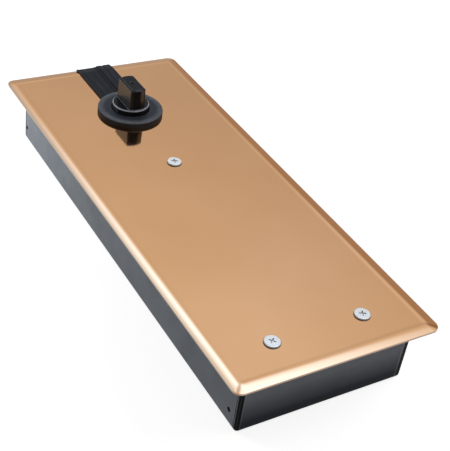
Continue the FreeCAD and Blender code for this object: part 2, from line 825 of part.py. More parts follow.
def make_bearings():
    """Ball bearing under the spindle and plain bush in the cap."""
    low, high = bearing_floor, bearing_floor + S.bearing_width
    inner_low = low + S.bearing_offset
    pitch = (S.bearing_seat_radius + S.bearing_radius) / 2
    outer = new_body("lower_bearing_outer")
    turn(outer, "Z", *ring_profile(S.bearing_radius - S.bearing_ring, S.bearing_radius, low, high))
    inner = new_body("lower_bearing_inner")
    seat = S.bearing_seat_radius
    turn(inner, "Z", *ring_profile(seat, seat + S.bearing_ring, inner_low, chamber_floor))
    middle = (inner_low + high) / 2
    groove = S.ball_radius + S.ball_play
    for ring in (outer, inner):
        cut_primitive(ring, "SubtractiveTorus", (0, 0, middle), Radius1=pitch, Radius2=groove)
    ball = doc.addObject("Part::Sphere", "bearing_ball")
    bind(ball, Radius=S.ball_radius)
    count = int(S.ball_count.value)
    turns = [2 * math.pi * i / count for i in range(count)]
    copies("lower_bearing_balls", ball, [(pitch * math.cos(a), pitch * math.sin(a), middle) for a in turns])
    bush = new_body("upper_bush")
    turn(bush, "Z", *ring_profile(S.journal_radius + S.running_play, S.journal_radius + S.bush_wall,
                                  spigot_foot, cap_top - S.seal_height))


def make_shaft_seal():
    """Lip seal over the bush, pressed into the cap."""
    body = new_body("shaft_seal")
    inner, outer, lip = S.journal_radius + S.running_play, S.seal_radius, S.seal_lip
    low, high = cap_top - S.seal_height, cap_top - S.seal_sink
    turn(body, "Z", (inner, low + lip), (inner + lip, low), (outer, low), (outer, high),
         (inner + 2 * lip, high), (inner + 2 * lip, high - lip), (inner, high - lip))


def make_bearing_cap():
    """Lid of the cam chamber: flange with four lobes, spigot, and seats for the bush and the seal."""
    body = new_body("bearing_cap")
    prism(body, "XY", head_top, cap_top, circle(0, 0, head_radius))
    prism(body, "XY", head_top, cap_top, *[circle(x, y, S.cap_lobe_radius) for x, y in cap_screw_spots])
    spigot = S.chamber_radius - S.running_play
    prism(body, "XY", spigot_foot, head_top, circle(0, 0, spigot))
    seal_foot = cap_top - S.seal_height
    bush_outer = S.journal_radius + S.bush_wall
    turn(body, "Z", (0, spigot_foot), (bush_outer, spigot_foot), (bush_outer, seal_foot),
         (S.seal_radius, seal_foot), (S.seal_radius, cap_top), (0, cap_top), cut=True)
    middle, ring, squeeze = (spigot_foot + head_top) / 2, S.cap_ring_radius, S.cap_ring_squeeze
    groove = ring_profile(spigot - 2 * (ring - squeeze), spigot + ring, middle - ring, middle + ring)
    turn(body, "Z", *groove, cut=True)
    head, shank = S.cap_screw_head + S.running_play, S.cap_screw_radius + S.screw_play
    prism(body, "XY", head_top, cap_top, *[circle(x, y, shank) for x, y in cap_screw_spots], cut=True)
    for x, y in cap_screw_spots:
        sink = (x, y, cap_top - head + shank)
        cut_primitive(body, "SubtractiveCone", sink, Radius1=shank, Radius2=head, Height=head - shank)
    torus("cap_seal_ring", spigot - ring + squeeze, ring - squeeze, sized(0), sized(0), middle)


def make_cap_screws():
    """Countersunk socket screws."""
    body = new_body("cap_screw", kept=False)
    head, shank, length = S.cap_screw_head, S.cap_screw_radius, S.cap_screw_length
    turn(body, "Z", (0, -length), (shank, -length), (shank, shank - head), (head, 0), (0, 0))
    prism(body, "XY", -S.socket_depth, 0, polygon(0, 0, S.socket_radius, 6), cut=True)
    copies("cap_screws", body, [(x, y, cap_top) for x, y in cap_screw_spots])


def make_closer_body():
    """Iron casting: cam chamber, cylinder, valve ribs, feet and the bosses that carry the cover."""
    body = new_body("closer_body")
    add_casting_forms(body)
    cut_chamber(body)
    cut_cylinder(body)
    cut_oilways(body)
    cut_screw_holes(body)


def add_casting_forms(body):
    prism(body, "XY", body_foot, head_top, circle(0, 0, head_radius))
    prism(body, "XY", body_foot, head_top, *[circle(x, y, S.cap_lobe_radius) for x, y in cap_screw_spots])
    neck = channel_side + S.channel_wall
    prism(body, "XY", body_foot, head_top, rectangle(0, spring_start, -neck, neck))
    prism(body, "YZ", channel_end, barrel_end, circle(0, bore_level, barrel_radius))
    saddle = rectangle(channel_end, barrel_end, -S.saddle_half, S.saddle_half)
    prism(body, "XY", body_foot, bore_level, saddle)
    ribs = [rectangle(channel_end, rib_end, *span) for span in mirrored(S.rib_inner, S.rib_outer)]
    prism(body, "XY", rib_foot, rib_top, *ribs)
    arm_start = foot_front - S.arm_length
    arms = [rectangle(arm_start, foot_front, *span) for span in mirrored(S.arm_inner, foot_side)]
    prism(body, "XY", foot_low, foot_top, rectangle(foot_back, 0, -foot_side, foot_side), *arms)
    trim_edges(body, "Fillet", foot_corner, Radius=S.foot_corner)
    prism(body, "XY", bore_level, cover_foot, circle(near_screw, 0, S.post_radius))
    prism(body, "XY", foot_low, cover_foot, *[circle(x, y, S.post_radius) for x, y in cover_screw_spots[1:]])
    prism(body, "XY", bore_level, filler_seat, circle(filler_place, 0, S.filler_boss_radius))


def mirrored(inner, outer):
    """A span on the +Y side and its twin on the -Y side."""
    return (inner, outer), (-outer, -inner)


def foot_corner(edge):
    """The outer upright corners of the feet."""
    middle = edge.BoundBox.Center
    at_end = min(abs(middle.x - foot_back.value), abs(middle.x - foot_front.value)) < NEAR
    return upright(edge) and at_end and abs(abs(middle.y) - foot_side.value) < NEAR


def cut_chamber(body):
    prism(body, "XY", chamber_floor, head_top, circle(0, 0, S.chamber_radius), cut=True)
    nose = S.carriage_nose + 2 * S.chamber_play
    half_way = (S.cam_start + travel) / 2
    nose_room = capped_slot(-half_way, sized(0), half_way, nose)
    prism(body, "XY", chamber_floor, spigot_foot, nose_room, cut=True)
    channel = rectangle(0, channel_end, -channel_side, channel_side)
    prism(body, "XY", chamber_floor, spigot_foot, channel, cut=True)
    prism(body, "XY", bearing_floor, chamber_floor, circle(0, 0, S.bearing_radius), cut=True)


def cut_cylinder(body):
    rod_hole = circle(0, bore_level, S.rod_radius + S.running_play)
    prism(body, "YZ", channel_end, spring_start, rod_hole, cut=True)
    prism(body, "YZ", spring_start, plug_start, circle(0, bore_level, S.bore_radius), cut=True)
    plug = S.bore_radius + S.plug_flange + S.running_play
    prism(body, "YZ", plug_start, barrel_end, circle(0, bore_level, plug), cut=True)


def cut_oilways(body):
    """Valve bores, their ports into the cylinder and the gallery that joins them to the spring's room."""
    valves = ((sweep_place, S.valve_side), (latch_place, -S.valve_side))
    prism(body, "XY", valve_seat, rib_top, *[circle(*spot, S.valve_radius) for spot in valves], cut=True)
    port_level = valve_seat - S.port_radius
    ports = [circle(*spot, S.port_radius) for spot in valves]
    prism(body, "XY", port_level - S.port_radius, valve_seat, *ports, cut=True)
    inlet = circle(spring_start + 3 * S.gallery_radius, bore_level, S.cross_port_radius)
    for (along, side), span in zip(valves, mirrored(S.bore_radius / 2, S.valve_side)):
        prism(body, "XZ", *span, circle(along, port_level, S.cross_port_radius), inlet, cut=True)
    galleries = [circle(side, bore_level, S.gallery_radius) for along, side in valves]
    prism(body, "YZ", spring_start + S.gallery_radius, rib_end, *galleries, cut=True)
    mouths = [circle(side, bore_level, S.gallery_plug_radius) for along, side in valves]
    prism(body, "YZ", rib_end - S.gallery_plug_length, rib_end, *mouths, cut=True)


def cut_screw_holes(body):
    posts = [circle(x, y, S.cover_screw_radius + S.running_play) for x, y in cover_screw_spots]
    prism(body, "XY", -S.cover_screw_length - S.thread_end, cover_foot, *posts, cut=True)
    lobes = [circle(x, y, S.cap_screw_radius + S.running_play) for x, y in cap_screw_spots]
    prism(body, "XY", cap_top - S.cap_screw_length - S.thread_end, head_top, *lobes, cut=True)
    slot = S.hold_down_radius + S.screw_play
    slots = [capped_slot(x, y, S.hold_down_slot / 2, slot) for x, y in hold_down_spots]
    levellers = [circle(x, y, S.levelling_radius + S.running_play) for x, y in levelling_spots]
    prism(body, "XY", foot_low, foot_top, *slots, *levellers, cut=True)
    filler = circle(filler_place, 0, S.filler_radius + S.running_play)
    prism(body, "XY", bore_level, filler_seat, filler, cut=True)


def make_valve(name, x, y):
    """Regulating screw with a slotted head, a sealing ring and a needle tip."""
    body = new_body(name)
    bind(body, Placement__Base__x=x, Placement__Base__y=y)
    outer, stem, tip = S.valve_radius - S.running_play, S.valve_stem_radius, S.valve_tip_radius
    tip_start = valve_seat + S.valve_opening
    tip_end = tip_start - S.valve_tip
    bottom = outer - S.valve_groove_depth
    turn(body, "Z", (0, tip_end), (tip, tip_end), ((stem + tip) / 2, tip_start), (stem, tip_start),
         (stem, valve_land_foot), (outer, valve_land_foot), (outer, valve_groove_foot),
         (bottom, valve_groove_foot), (bottom, valve_groove_top), (outer, valve_groove_top),
         (outer, valve_top), (0, valve_top))
    half, width = S.valve_slot / 2, S.valve_radius
    slot = rectangle(-width, width, -half, half)
    prism(body, "XY", valve_top - S.valve_slot_depth, valve_top, slot, cut=True)
    torus(name + "_ring", outer - S.valve_groove_depth / 2, S.valve_groove_depth / 2 - S.close_play, x, y,
          (valve_groove_top + valve_groove_foot) / 2)


def make_gallery_plugs():
    """Plugs in the ends of the drilled oilways."""
    plug = new_body("gallery_plug", kept=False)
    prism(plug, "YZ", -S.gallery_plug_length, 0, circle(0, 0, S.gallery_plug_radius - S.running_play))
    copies("gallery_plugs", plug, [(rib_end, side * S.valve_side, bore_level) for side in (1, -1)])


def make_filler_plug():
    """Screw plug in the oil filler, on a copper washer."""
    washer = new_body("filler_washer")
    bind(washer, Placement__Base__x=filler_place)
    seat = filler_seat + S.filler_washer
    turn(washer, "Z", *ring_profile(S.filler_radius + S.running_play, S.filler_head, filler_seat, seat))
    body = new_body("filler_plug")
    bind(body, Placement__Base__x=filler_place)
    foot = bore_level + S.bore_radius + S.side_play
    head_top_level = seat + S.filler_head_height
    turn(body, "Z", (0, foot), (S.filler_radius, foot), (S.filler_radius, seat), (S.filler_head, seat),
         (S.filler_head, head_top_level), (0, head_top_level))
    prism(body, "XY", seat, head_top_level, polygon(0, 0, S.filler_socket_radius, 6), cut=True)


def make_carriage_plates():
    """Two plates with a slot for the spindle; they carry both rollers and the rod's block."""
    half, pin = S.carriage_half, S.roller_pin_radius + S.close_play
    tip, shoulder = -S.cam_start - S.nose_along, -S.shoulder_along
    plate = outline((tip, -S.nose_half), (shoulder, -half), (carriage_end, -half),
                    (carriage_end, half), (shoulder, half), (tip, S.nose_half))
    slot = capped_slot(travel / 2, sized(0), travel / 2, S.cam_shoulder_radius + S.slot_play)
    pins = circle(-S.cam_start, 0, pin), circle(guide_pin, 0, pin)
    rivets = [circle(x, y, S.rivet_radius + S.close_play) for x, y in rivet_spots()]
    for name, low in (("carriage_plate_upper", upper_plate_top - S.carriage_sheet),
                      ("carriage_plate_lower", lower_plate_foot)):
        body = new_body(name)
        high = low + S.carriage_sheet
        prism(body, "XY", low, high, plate)
        prism(body, "XY", low, high, circle(-S.cam_start, 0, S.carriage_nose))
        prism(body, "XY", low, high, slot, *pins, *rivets, cut=True)


def rivet_spots():
    return both_sides(rod_block_start + S.rod_block_length / 2, S.rivet_side)


def make_rod_block():
    """Block between the plates that the pull rod screws into."""
    body = new_body("carriage_block")
    low, high = cam_foot - S.side_play, cam_top + S.side_play
    half = S.rod_block_half
    prism(body, "XY", low, high, rectangle(rod_block_start, carriage_end, -half, half))
    rod_hole = circle(0, bore_level, S.rod_radius + S.close_play)
    prism(body, "YZ", rod_block_start, carriage_end, rod_hole, cut=True)
    rivets = [circle(x, y, S.rivet_radius + S.close_play) for x, y in rivet_spots()]
    prism(body, "XY", low, high, *rivets, cut=True)


def make_pins():
    """Roller pins and the block's rivets, each as long as the carriage is high."""
    height = upper_plate_top - lower_plate_foot
    pin_spots = [(-S.cam_start, sized(0)), (guide_pin, sized(0))]
    for name, radius, spots in (("roller_pins", S.roller_pin_radius, pin_spots),
                                ("carriage_rivets", S.rivet_radius, rivet_spots())):
        pin = doc.addObject("Part::Cylinder", name + "_master")
        bind(pin, Radius=radius, Height=height)
        copies(name, pin, [(x, y, lower_plate_foot) for x, y in spots])


def make_rollers():
    for name, x in (("main_roller", -S.cam_start), ("guide_roller", guide_pin)):
        body = new_body(name)
        bind(body, Placement__Base__x=x)
        inner = S.roller_pin_radius + S.running_play
        turn(body, "Z", *ring_profile(inner, S.roller_radius, cam_foot, cam_top))


def make_pull_rod():
    """Rod from the carriage through the partition and the spring to the piston."""
    shoulder = piston_start
    end = shoulder + S.rod_end_length
    turned_on_bore("pull_rod", (rod_block_start, 0), (end, 0), (end, S.rod_end_radius),
                   (shoulder, S.rod_end_radius), (shoulder, S.rod_radius), (rod_block_start, S.rod_radius))


def make_piston():
    """Piston with a groove for its ring, held on the rod by a nut."""
    outer, inner = S.bore_radius - S.running_play, S.rod_end_radius + S.close_play
    ring_end = piston_end - S.piston_ring_width
    ring_start = ring_end - S.piston_ring_width
    bottom = outer - S.piston_ring_depth
    body = turned_on_bore("piston", (piston_start, inner), (piston_end, inner), (piston_end, outer),
                          (ring_end, outer), (ring_end, bottom), (ring_start, bottom),
                          (ring_start, outer), (piston_start, outer))
    ring_low, ring_high = ring_start + S.close_play, ring_end - S.close_play
    touch = S.bore_radius - S.close_play
    turned_on_bore("piston_ring", (ring_low, bottom), (ring_high, bottom),
                   (ring_high, touch), (ring_low, touch))
    nut = new_body("piston_nut")
    bind(nut, Placement__Base__z=bore_level)
    nut_end = piston_end + S.nut_thickness
    prism(nut, "YZ", piston_end, nut_end, polygon(0, 0, S.nut_radius, 6))
    prism(nut, "YZ", piston_end, nut_end, circle(0, 0, inner), cut=True)
    make_check_valve(body)


def make_check_valve(piston):
    """Ball behind a pin in the piston: it lets oil through as the door is pushed open."""
    cage_start, side = piston_end - S.cage_length, S.check_side
    prism(piston, "YZ", piston_start, piston_end, circle(side, 0, S.check_hole_radius), cut=True)
    prism(piston, "YZ", cage_start, piston_end, circle(side, 0, S.check_seat_radius), cut=True)
    pin_place, half = piston_end - S.cage_pin_inset, S.check_seat_radius + S.cage_pin_end
    hole = circle(pin_place, side, S.cage_pin_radius + S.close_play)
    prism(piston, "XY", -half, half, hole, cut=True)
    ball = doc.addObject("Part::Sphere", "check_ball")
    bind(ball, Radius=S.check_ball_radius, Placement__Base__x=cage_start + S.check_ball_radius)
    pin = doc.addObject("Part::Cylinder", "check_ball_pin")
    bind(pin, Radius=S.cage_pin_radius, Height=2 * half, Placement__Base__x=pin_place)
    for piece, level in ((ball, bore_level), (pin, bore_level - half)):
        bind(piece, Placement__Base__y=side, Placement__Base__z=level)
        keep(piece, piece.Name)


def make_end_plug():
    """Screw plug that closes the cylinder, with a sealing ring and a hexagon for its key."""
    outer = S.bore_radius + S.plug_flange
    groove_start = plug_start + S.plug_groove_inset
    groove_end, bottom = groove_start + S.plug_groove_width, outer - S.plug_groove_depth
    body = turned_on_bore("end_plug", (plug_start, 0), (barrel_end, 0), (barrel_end, outer),
                          (groove_end, outer), (groove_end, bottom), (groove_start, bottom),
                          (groove_start, outer), (plug_start, outer))
    key = polygon(0, 0, S.plug_key_radius, 6)
    prism(body, "YZ", barrel_end - S.plug_key_depth, barrel_end, key, cut=True)
    torus("end_plug_ring", (outer + bottom) / 2, (outer - bottom) / 2 - S.close_play,
          (groove_start + groove_end) / 2, sized(0), bore_level, along_x=True)


def biarc(start, start_way, end, end_way):
    """Two arcs that leave one spot in its direction and reach the next in its own."""
    chord, ways = end - start, start_way + end_way
    spread = 2 * (1 - start_way.dot(end_way))
    along = chord.dot(ways)
    reach_out = (math.sqrt(along ** 2 + spread * chord.dot(chord)) - along) / spread
    first_corner, last_corner = start + start_way * reach_out, end - end_way * reach_out
    joint = (first_corner + last_corner) / 2
    arcs = []
    for a, corner, b in ((start, first_corner, joint), (joint, last_corner, end)):
        middle = (a + b) / 2
        bend = math.atan2((corner - middle).Length, (b - a).Length / 2)
        crown = middle + (corner - middle) * (math.tan(bend / 2) / math.tan(bend))
        arcs.append(Part.Arc(a, crown, b).toShape())
    return arcs


def make_closing_spring():
    """Wound spring between the partition and the piston: one tube, with a ground seat at each end."""
    wire, coils, seat = S.wire_radius.value, int(S.coils.value), S.spring_seat.value
    radius = S.bore_radius.value - S.spring_play.value - wire
    start, end = spring_start.value, piston_start.value
    level = bore_level.value
    lead = (end - start - 2 * seat) / coils

    def on_coil(turn_count):
        angle = 2 * math.pi * turn_count
        spot = FreeCAD.Vector(start + seat + lead * turn_count, radius * math.cos(angle),
                              level + radius * math.sin(angle))
        way = FreeCAD.Vector(lead / (2 * math.pi), -radius * math.sin(angle), radius * math.cos(angle))
        return spot, way.normalize()

    edges = []
    for step in range(4 * coils):
        edges += biarc(*on_coil(step / 4), *on_coil((step + 1) / 4))
    first, way = on_coil(0)
    section = Part.Wire(Part.Circle(first, way, wire).toShape())
    tube = Part.Wire(edges).makePipeShell([section], True, False)
    length = end - start
    foot, along = FreeCAD.Vector(start, 0, level), FreeCAD.Vector(1, 0, 0)
    room = Part.makeCylinder(S.bore_radius.value, length, foot, along)
    spring = doc.addObject("Part::Feature", "closing_spring")
    spring.Shape = tube.common(room)
    keep(spring, "closing_spring")
    print(f"closing spring: {coils} coils, least gap {lead - 2 * wire:.2f} mm")


def make_cement_box():
    """Open box of folded sheet that is set in the floor, with a seam at each corner."""
    body = new_body("cement_box")
    prism(body, "XY", box_foot, cover_foot, rectangle(box_back, box_front, -box_side, box_side))
    trim_edges(body, "Fillet", lambda edge: upright(edge) or at_level(box_foot)(edge), Radius=S.box_bend)
    sheet = S.box_sheet
    prism(body, "XY", box_floor, cover_foot,
          rectangle(box_back + sheet, box_front - sheet, sheet - box_side, box_side - sheet), cut=True)
    bush_holes = [circle(x, y, S.bush_radius - S.bush_shoulder) for x, y in hold_down_spots]
    prism(body, "XY", box_foot, box_floor, *bush_holes, cut=True)
    seam_level = box_foot + S.box_bend
    for x in (box_back + S.seam_inset, box_front - S.seam_inset - S.seam_width):
        seams = [rectangle(x, x + S.seam_width, low, low + S.seam_depth)
                 for low in (-box_side, box_side - S.seam_depth)]
        prism(body, "XY", seam_level, cover_foot, *seams, cut=True)
    rise = box_foot + S.box_hole_rise
    holes = [circle(x, rise, S.box_hole_radius)
             for x in (box_back + S.box_hole_inset + sheet, box_front - 2 * S.box_hole_inset - sheet)]
    prism(body, "XZ", -box_side, box_side, *holes, cut=True)


def make_fastenings():
    """Bushes riveted into the box's floor, and the screws that level the closer and hold it down."""
    bush_top = foot_low - S.bush_gap
    bush = new_body("box_bush", kept=False)
    thread = S.hold_down_radius + S.running_play
    shank = S.bush_radius - S.bush_shoulder
    turn(bush, "Z", (thread, box_foot), (shank, box_foot), (shank, box_floor), (S.bush_radius, box_floor),
         (S.bush_radius, bush_top), (thread, bush_top))
    copies("box_bushes", bush, [(x, y, sized(0)) for x, y in hold_down_spots])
    washer = new_body("hold_down_washer", kept=False)
    seat = foot_top + S.washer_thickness
    turn(washer, "Z", *ring_profile(S.hold_down_radius + S.screw_play, S.washer_radius, foot_top, seat))
    copies("hold_down_washers", washer, [(x, y, sized(0)) for x, y in hold_down_spots])
    screw = new_body("hold_down_screw", kept=False)
    prism(screw, "XY", box_floor + S.side_play, seat, circle(0, 0, S.hold_down_radius))
    prism(screw, "XY", seat, seat + S.hold_down_head_height, polygon(0, 0, S.hold_down_head, 6))
    copies("hold_down_screws", screw, [(x, y, sized(0)) for x, y in hold_down_spots])
    leveller = new_body("levelling_screw", kept=False)
    top = foot_top + S.levelling_rise
    prism(leveller, "XY", box_floor, top, circle(0, 0, S.levelling_radius))
    socket = polygon(0, 0, S.levelling_socket_radius, 6)
    prism(leveller, "XY", top - S.socket_depth, top, socket, cut=True)
    copies("levelling_screws", leveller, [(x, y, sized(0)) for x, y in levelling_spots])


def check_and_write():
    """Stop on anything that failed, then write each piece to a file of its own name."""
    doc.recompute()
    for thing in doc.Objects:
        if "Invalid" in thing.State or "Error" in thing.State:
            raise RuntimeError(f"{thing.Label} failed: {thing.State}")
    os.makedirs("parts", exist_ok=True)
    for piece in pieces:
        shape = Part.getShape(piece)
        if shape.isNull() or not shape.isValid() or not shape.Solids:
            raise RuntimeError(f"{piece.Label} has no sound shape")
        shape.exportStep(os.path.join("parts", piece.Label + ".step"))
    print(f"{len(pieces)} pieces written")


make_cover_plate()
make_cover_screws()
make_slot_filler()
make_dust_ring()
make_spindle()
make_heart_cam()
make_cam_key()
make_cam_circlip()
make_bearings()
make_shaft_seal()
make_bearing_cap()
make_cap_screws()
make_closer_body()
make_valve("sweep_valve", sweep_place, S.valve_side)
make_valve("latch_valve", latch_place, -S.valve_side)
make_gallery_plugs()
make_filler_plug()
make_carriage_plates()
make_rod_block()
make_pins()
make_rollers()
make_pull_rod()
make_piston()
make_end_plug()
make_closing_spring()
make_cement_box()
make_fastenings()
check_and_write()
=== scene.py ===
import json
import math

import bpy
from mathutils import Matrix, Vector


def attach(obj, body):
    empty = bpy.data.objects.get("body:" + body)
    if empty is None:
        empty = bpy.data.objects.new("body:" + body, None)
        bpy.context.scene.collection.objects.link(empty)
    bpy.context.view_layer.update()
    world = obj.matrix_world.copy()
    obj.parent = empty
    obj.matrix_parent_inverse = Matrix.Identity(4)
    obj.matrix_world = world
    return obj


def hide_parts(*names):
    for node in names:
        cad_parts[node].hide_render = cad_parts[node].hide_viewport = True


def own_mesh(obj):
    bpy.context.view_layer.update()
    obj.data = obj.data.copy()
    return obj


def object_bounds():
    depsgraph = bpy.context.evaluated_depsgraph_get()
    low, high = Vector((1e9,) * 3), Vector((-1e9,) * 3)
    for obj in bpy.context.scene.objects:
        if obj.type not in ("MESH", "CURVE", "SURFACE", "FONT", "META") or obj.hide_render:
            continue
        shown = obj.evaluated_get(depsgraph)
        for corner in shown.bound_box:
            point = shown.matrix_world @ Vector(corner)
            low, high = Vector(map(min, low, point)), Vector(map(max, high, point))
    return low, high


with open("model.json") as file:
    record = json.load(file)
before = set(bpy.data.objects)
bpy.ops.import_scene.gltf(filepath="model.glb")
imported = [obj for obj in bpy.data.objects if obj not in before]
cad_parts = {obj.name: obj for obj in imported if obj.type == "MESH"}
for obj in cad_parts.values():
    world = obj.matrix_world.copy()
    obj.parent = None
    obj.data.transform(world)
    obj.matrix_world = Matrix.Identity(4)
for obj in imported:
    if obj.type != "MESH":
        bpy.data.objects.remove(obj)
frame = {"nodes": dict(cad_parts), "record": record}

CAD_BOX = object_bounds()
MM = 0.001
WHITE = (1, 1, 1, 1)

# Camera: place, and tilt, roll and heading in degrees, fitted to the corners and screws in the photograph;
# focal length and sensor width in millimetres, and the nearest and farthest distance it sees
CAMERA_SPOT = (460.38 * MM, -240.91 * MM, 305.01 * MM)
CAMERA_TURN = (53.531, -7.238, 60.455)
CAMERA_LENS = 80.99
CAMERA_SENSOR = 36
CAMERA_RANGE = (0.01, 20)

# Studio as polished metal mirrors it: the pale room's brightness from the floor up, and the cool light
# above it, which begins at a tilted border and is brightest along its middle. Each height is a sum of
# a direction's X, Y and Z by these shares, and a starting number.
ROOM = ((0.0, 0.52), (0.10, 0.52), (0.25, 0.59), (0.36, 0.70), (0.43, 0.78), (0.55, 0.83))
ROOM_HEIGHT = ((0, -0.3, 1), -0.10)
LIGHT_PEAK = 2.8
LIGHT = ((0.37, 0.0), (0.44, 0.12), (0.475, 0.6), (0.505, 0.95), (0.535, 1.4), (0.575, 1.9), (0.61, 2.45),
         (0.64, 2.7), (0.68, 2.6), (0.72, 2.1), (0.76, 1.8), (0.83, 1.4), (0.92, 0.3))
LIGHT_HEIGHT = ((0.1, -0.5, 1), 0.01)

# From the camera's side of the studio to the far side: brightness, and how cool the light is
ACROSS = ((0, 0.5, 0), 0.5)
SIDE_LEVELS = ((0.40, 0.35), (0.50, 0.50), (0.557, 1.0))
COOL_SHARES = ((0.44, 0), (0.54, 1))
LIGHT_COLOUR = (0.27, 0.56, 1.12)
NEAR_LIGHT_COLOUR = (0.52, 0.50, 0.48)

# Warm part of the room, low at the far side
WARM_COLOUR = (0.84, 0.68, 0.58)
WARM_FAR = ((0.48, 0), (0.62, 1))
WARM_LOW = ((0.10, 1), (0.20, 0))

# Faint round patch of light: its direction, and the cosines from it at which it begins and is full
PATCH_WAY = (-0.594, 0.497, 0.632)
PATCH_EDGE = (0.9955, 0.9995)
PATCH_BRIGHT = 0.14

# Even light on the object, and lamps by spot, target, size across and power. No lamp shows in reflections.
EVEN_LIGHT = 0.17
MIDDLE = (0.08, 0, 0)
LAMPS = {
    "key": ((-0.22, -0.32, 0.12), (-0.04, -0.05, -0.02), 0.26, 0.66),
    "fill": ((0.5, 1.1, 0.8), MIDDLE, 0.9, 2.5),
    "back": ((-0.1, 1.2, 0.9), MIDDLE, 0.8, 2.5),
}

# Floor: size, tone, and how brightly it glows where the camera or a reflection sees it
FLOOR_SIZE = 6.0
FLOOR_TONE = 0.82
FLOOR_GLOW = 0.80

# Pressed rim of the cover: width of its band at the left side, the share by which distances shrink at the
# other sides, where it is wider, the rounding between two lengths of it, and the whole depth of its relief
RIM_BAND = 6.9 * MM
RIM_WIDER = 0.87
RIM_MITRE = 2.0 * MM
RIM_RELIEF = 0.7 * MM

# Tilts that add up to the rim's rounding: where each begins, how far it takes to come up, and its degrees.
# The last one takes off the solid's own slope.
RIM_TILTS = ((5.07 * MM, 3.23 * MM, 12.06), (2.16 * MM, 2.16 * MM, 2.32), (6.58 * MM, 1.94 * MM, -7.61))
RIM_STEPS = 16

# Box: width of the band of painted dark reflection along an upright bend, and the share by which it shrinks
# at the right side
BEND_BAND = 3 * MM
BEND_RIGHT = 0.55

# Spindle: height of the block and radius of the collar
BLOCK_HEIGHT = 12.7 * MM
COLLAR_RADIUS = 10.7 * MM

# Cover screws: each one's axis and the turn of its cross in degrees, and how radii and heights in the head
# change, as shares of the whole
SCREW_TURNS = (((56.9 * MM, 0), -18), ((200.9 * MM, 25 * MM), -27), ((200.9 * MM, -25 * MM), 40))
HEAD_RADIUS = 4.2 * MM
HEAD_HEIGHT = 1.4 * MM
HEAD_REACH = ((0, 0), (0.60, 0.42), (0.72, 0.84), (0.93, 0.94), (1, 1))
HEAD_LEVELS = ((0, 0), (0.3, 0.24), (0.62, 0.56), (0.9, 0.66), (1, 0.70))

# Plain metals by slot: colour, roughness, and what else differs from the usual finish
METALS = {
    "hard_steel": {"base": (0.40, 0.41, 0.43), "rough": 0.24, "stretch": (1, 1, 5)},
    "bright_steel": {"base": (0.58, 0.58, 0.60), "rough": 0.22, "stretch": (1, 8, 8)},
    "spring_steel": {"base": (0.20, 0.205, 0.22), "rough": 0.34, "grain": 0.9 * MM, "stain": 0.6},
    "bearing_steel": {"base": (0.70, 0.71, 0.73), "rough": 0.10, "depth": 0.001 * MM, "stain": 0.9,
                      "edge": 1.2},
    "bronze": {"base": (0.55, 0.34, 0.16), "rough": 0.42, "grain": 0.4 * MM, "depth": 0.012 * MM},
    "zinc_steel": {"base": (0.60, 0.61, 0.64), "rough": 0.30, "grain": 1.2 * MM, "depth": 0.003 * MM,
                   "stain": 0.8},
    "brass": {"base": (0.72, 0.52, 0.22), "rough": 0.24, "stretch": (1, 1, 4), "stain": 0.8, "edge": 1.25},
    "copper": {"base": (0.66, 0.33, 0.20), "rough": 0.34, "stain": 0.7, "edge": 1.3},
    "plain_steel": {"base": (0.42, 0.42, 0.43), "rough": 0.34, "grain": 0.8 * MM, "stretch": (6, 1, 1)},
}

# Edges sharper than this stay sharp in shading, and on some pieces a small round of this width breaks them
SHARP_EDGE = math.radians(32)
BROKEN_EDGES = {
    "cover_plate": 0.45 * MM,
    "spindle": 0.18 * MM,
    "slot_filler": 0.20 * MM,
    "cement_box": 0.15 * MM,
}
SCREW_ROUND = 0.1 * MM


def extent(piece):
    """Least and greatest X, Y and Z of a CAD piece, in its own frame."""
    spots = [vertex.co for vertex in frame["nodes"][piece].data.vertices]
    return [(min(values), max(values)) for values in zip(*spots)]


def feed(tree, socket, value):
    """Link a socket to a node's output, or set it to a number or colour."""
    if isinstance(value, bpy.types.NodeSocket):
        tree.links.new(value, socket)
    else:
        socket.default_value = value


def add(tree, kind, inputs=None, **settings):
    """A new node, with its settings, and its inputs set or linked."""
    made = tree.nodes.new("ShaderNode" + kind)
    for key, value in settings.items():
        setattr(made, key, value)
    for key, value in (inputs or {}).items():
        feed(tree, made.inputs[key], value)
    return made


def maths(tree, operation, *values):
    """A calculation with numbers or nodes' outputs."""
    return add(tree, "Math", dict(enumerate(values)), operation=operation).outputs[0]


def product(tree, first, *others):
    """Numbers or nodes' outputs multiplied together."""
    for other in others:
        first = maths(tree, "MULTIPLY", first, other)
    return first


def place(tree):
    """X, Y and Z of the point that is shaded, in the piece's own frame."""
    return add(tree, "SeparateXYZ", {0: add(tree, "TexCoord").outputs["Object"]}).outputs


def facing(tree):
    """X, Y and Z of the direction that the shaded face looks in."""
    return add(tree, "SeparateXYZ", {0: add(tree, "NewGeometry").outputs["Normal"]}).outputs


def noise(tree, size, detail=4.0, rough=0.55, stretch=(1, 1, 1), offset=(0, 0, 0)):
    """Cloudy pattern from 0 to 1 whose lumps are about size metres across, drawn out by stretch."""
    spot = add(tree, "TexCoord").outputs["Object"]
    scale = [1 / (size * s) for s in stretch]
    moved = add(tree, "Mapping", {"Vector": spot, "Scale": scale, "Location": offset}).outputs[0]
    inputs = {"Vector": moved, "Scale": 1.0, "Detail": detail, "Roughness": rough}
    return add(tree, "TexNoise", inputs).outputs["Fac"]


def ramp(tree, value, *stops, lines="LINEAR"):
    """Value turned into a number by stops of (value, number), with straight lines or a curve between."""
    made = add(tree, "ValToRGB", {"Fac": value})
    made.color_ramp.interpolation = lines
    marks = made.color_ramp.elements
    while len(marks) > 1:
        marks.remove(marks[-1])
    for index, (position, level) in enumerate(stops):
        mark = marks[0] if index == 0 else marks.new(position)
        mark.position = position
        mark.color = (level, level, level, 1)
    return made.outputs["Color"]


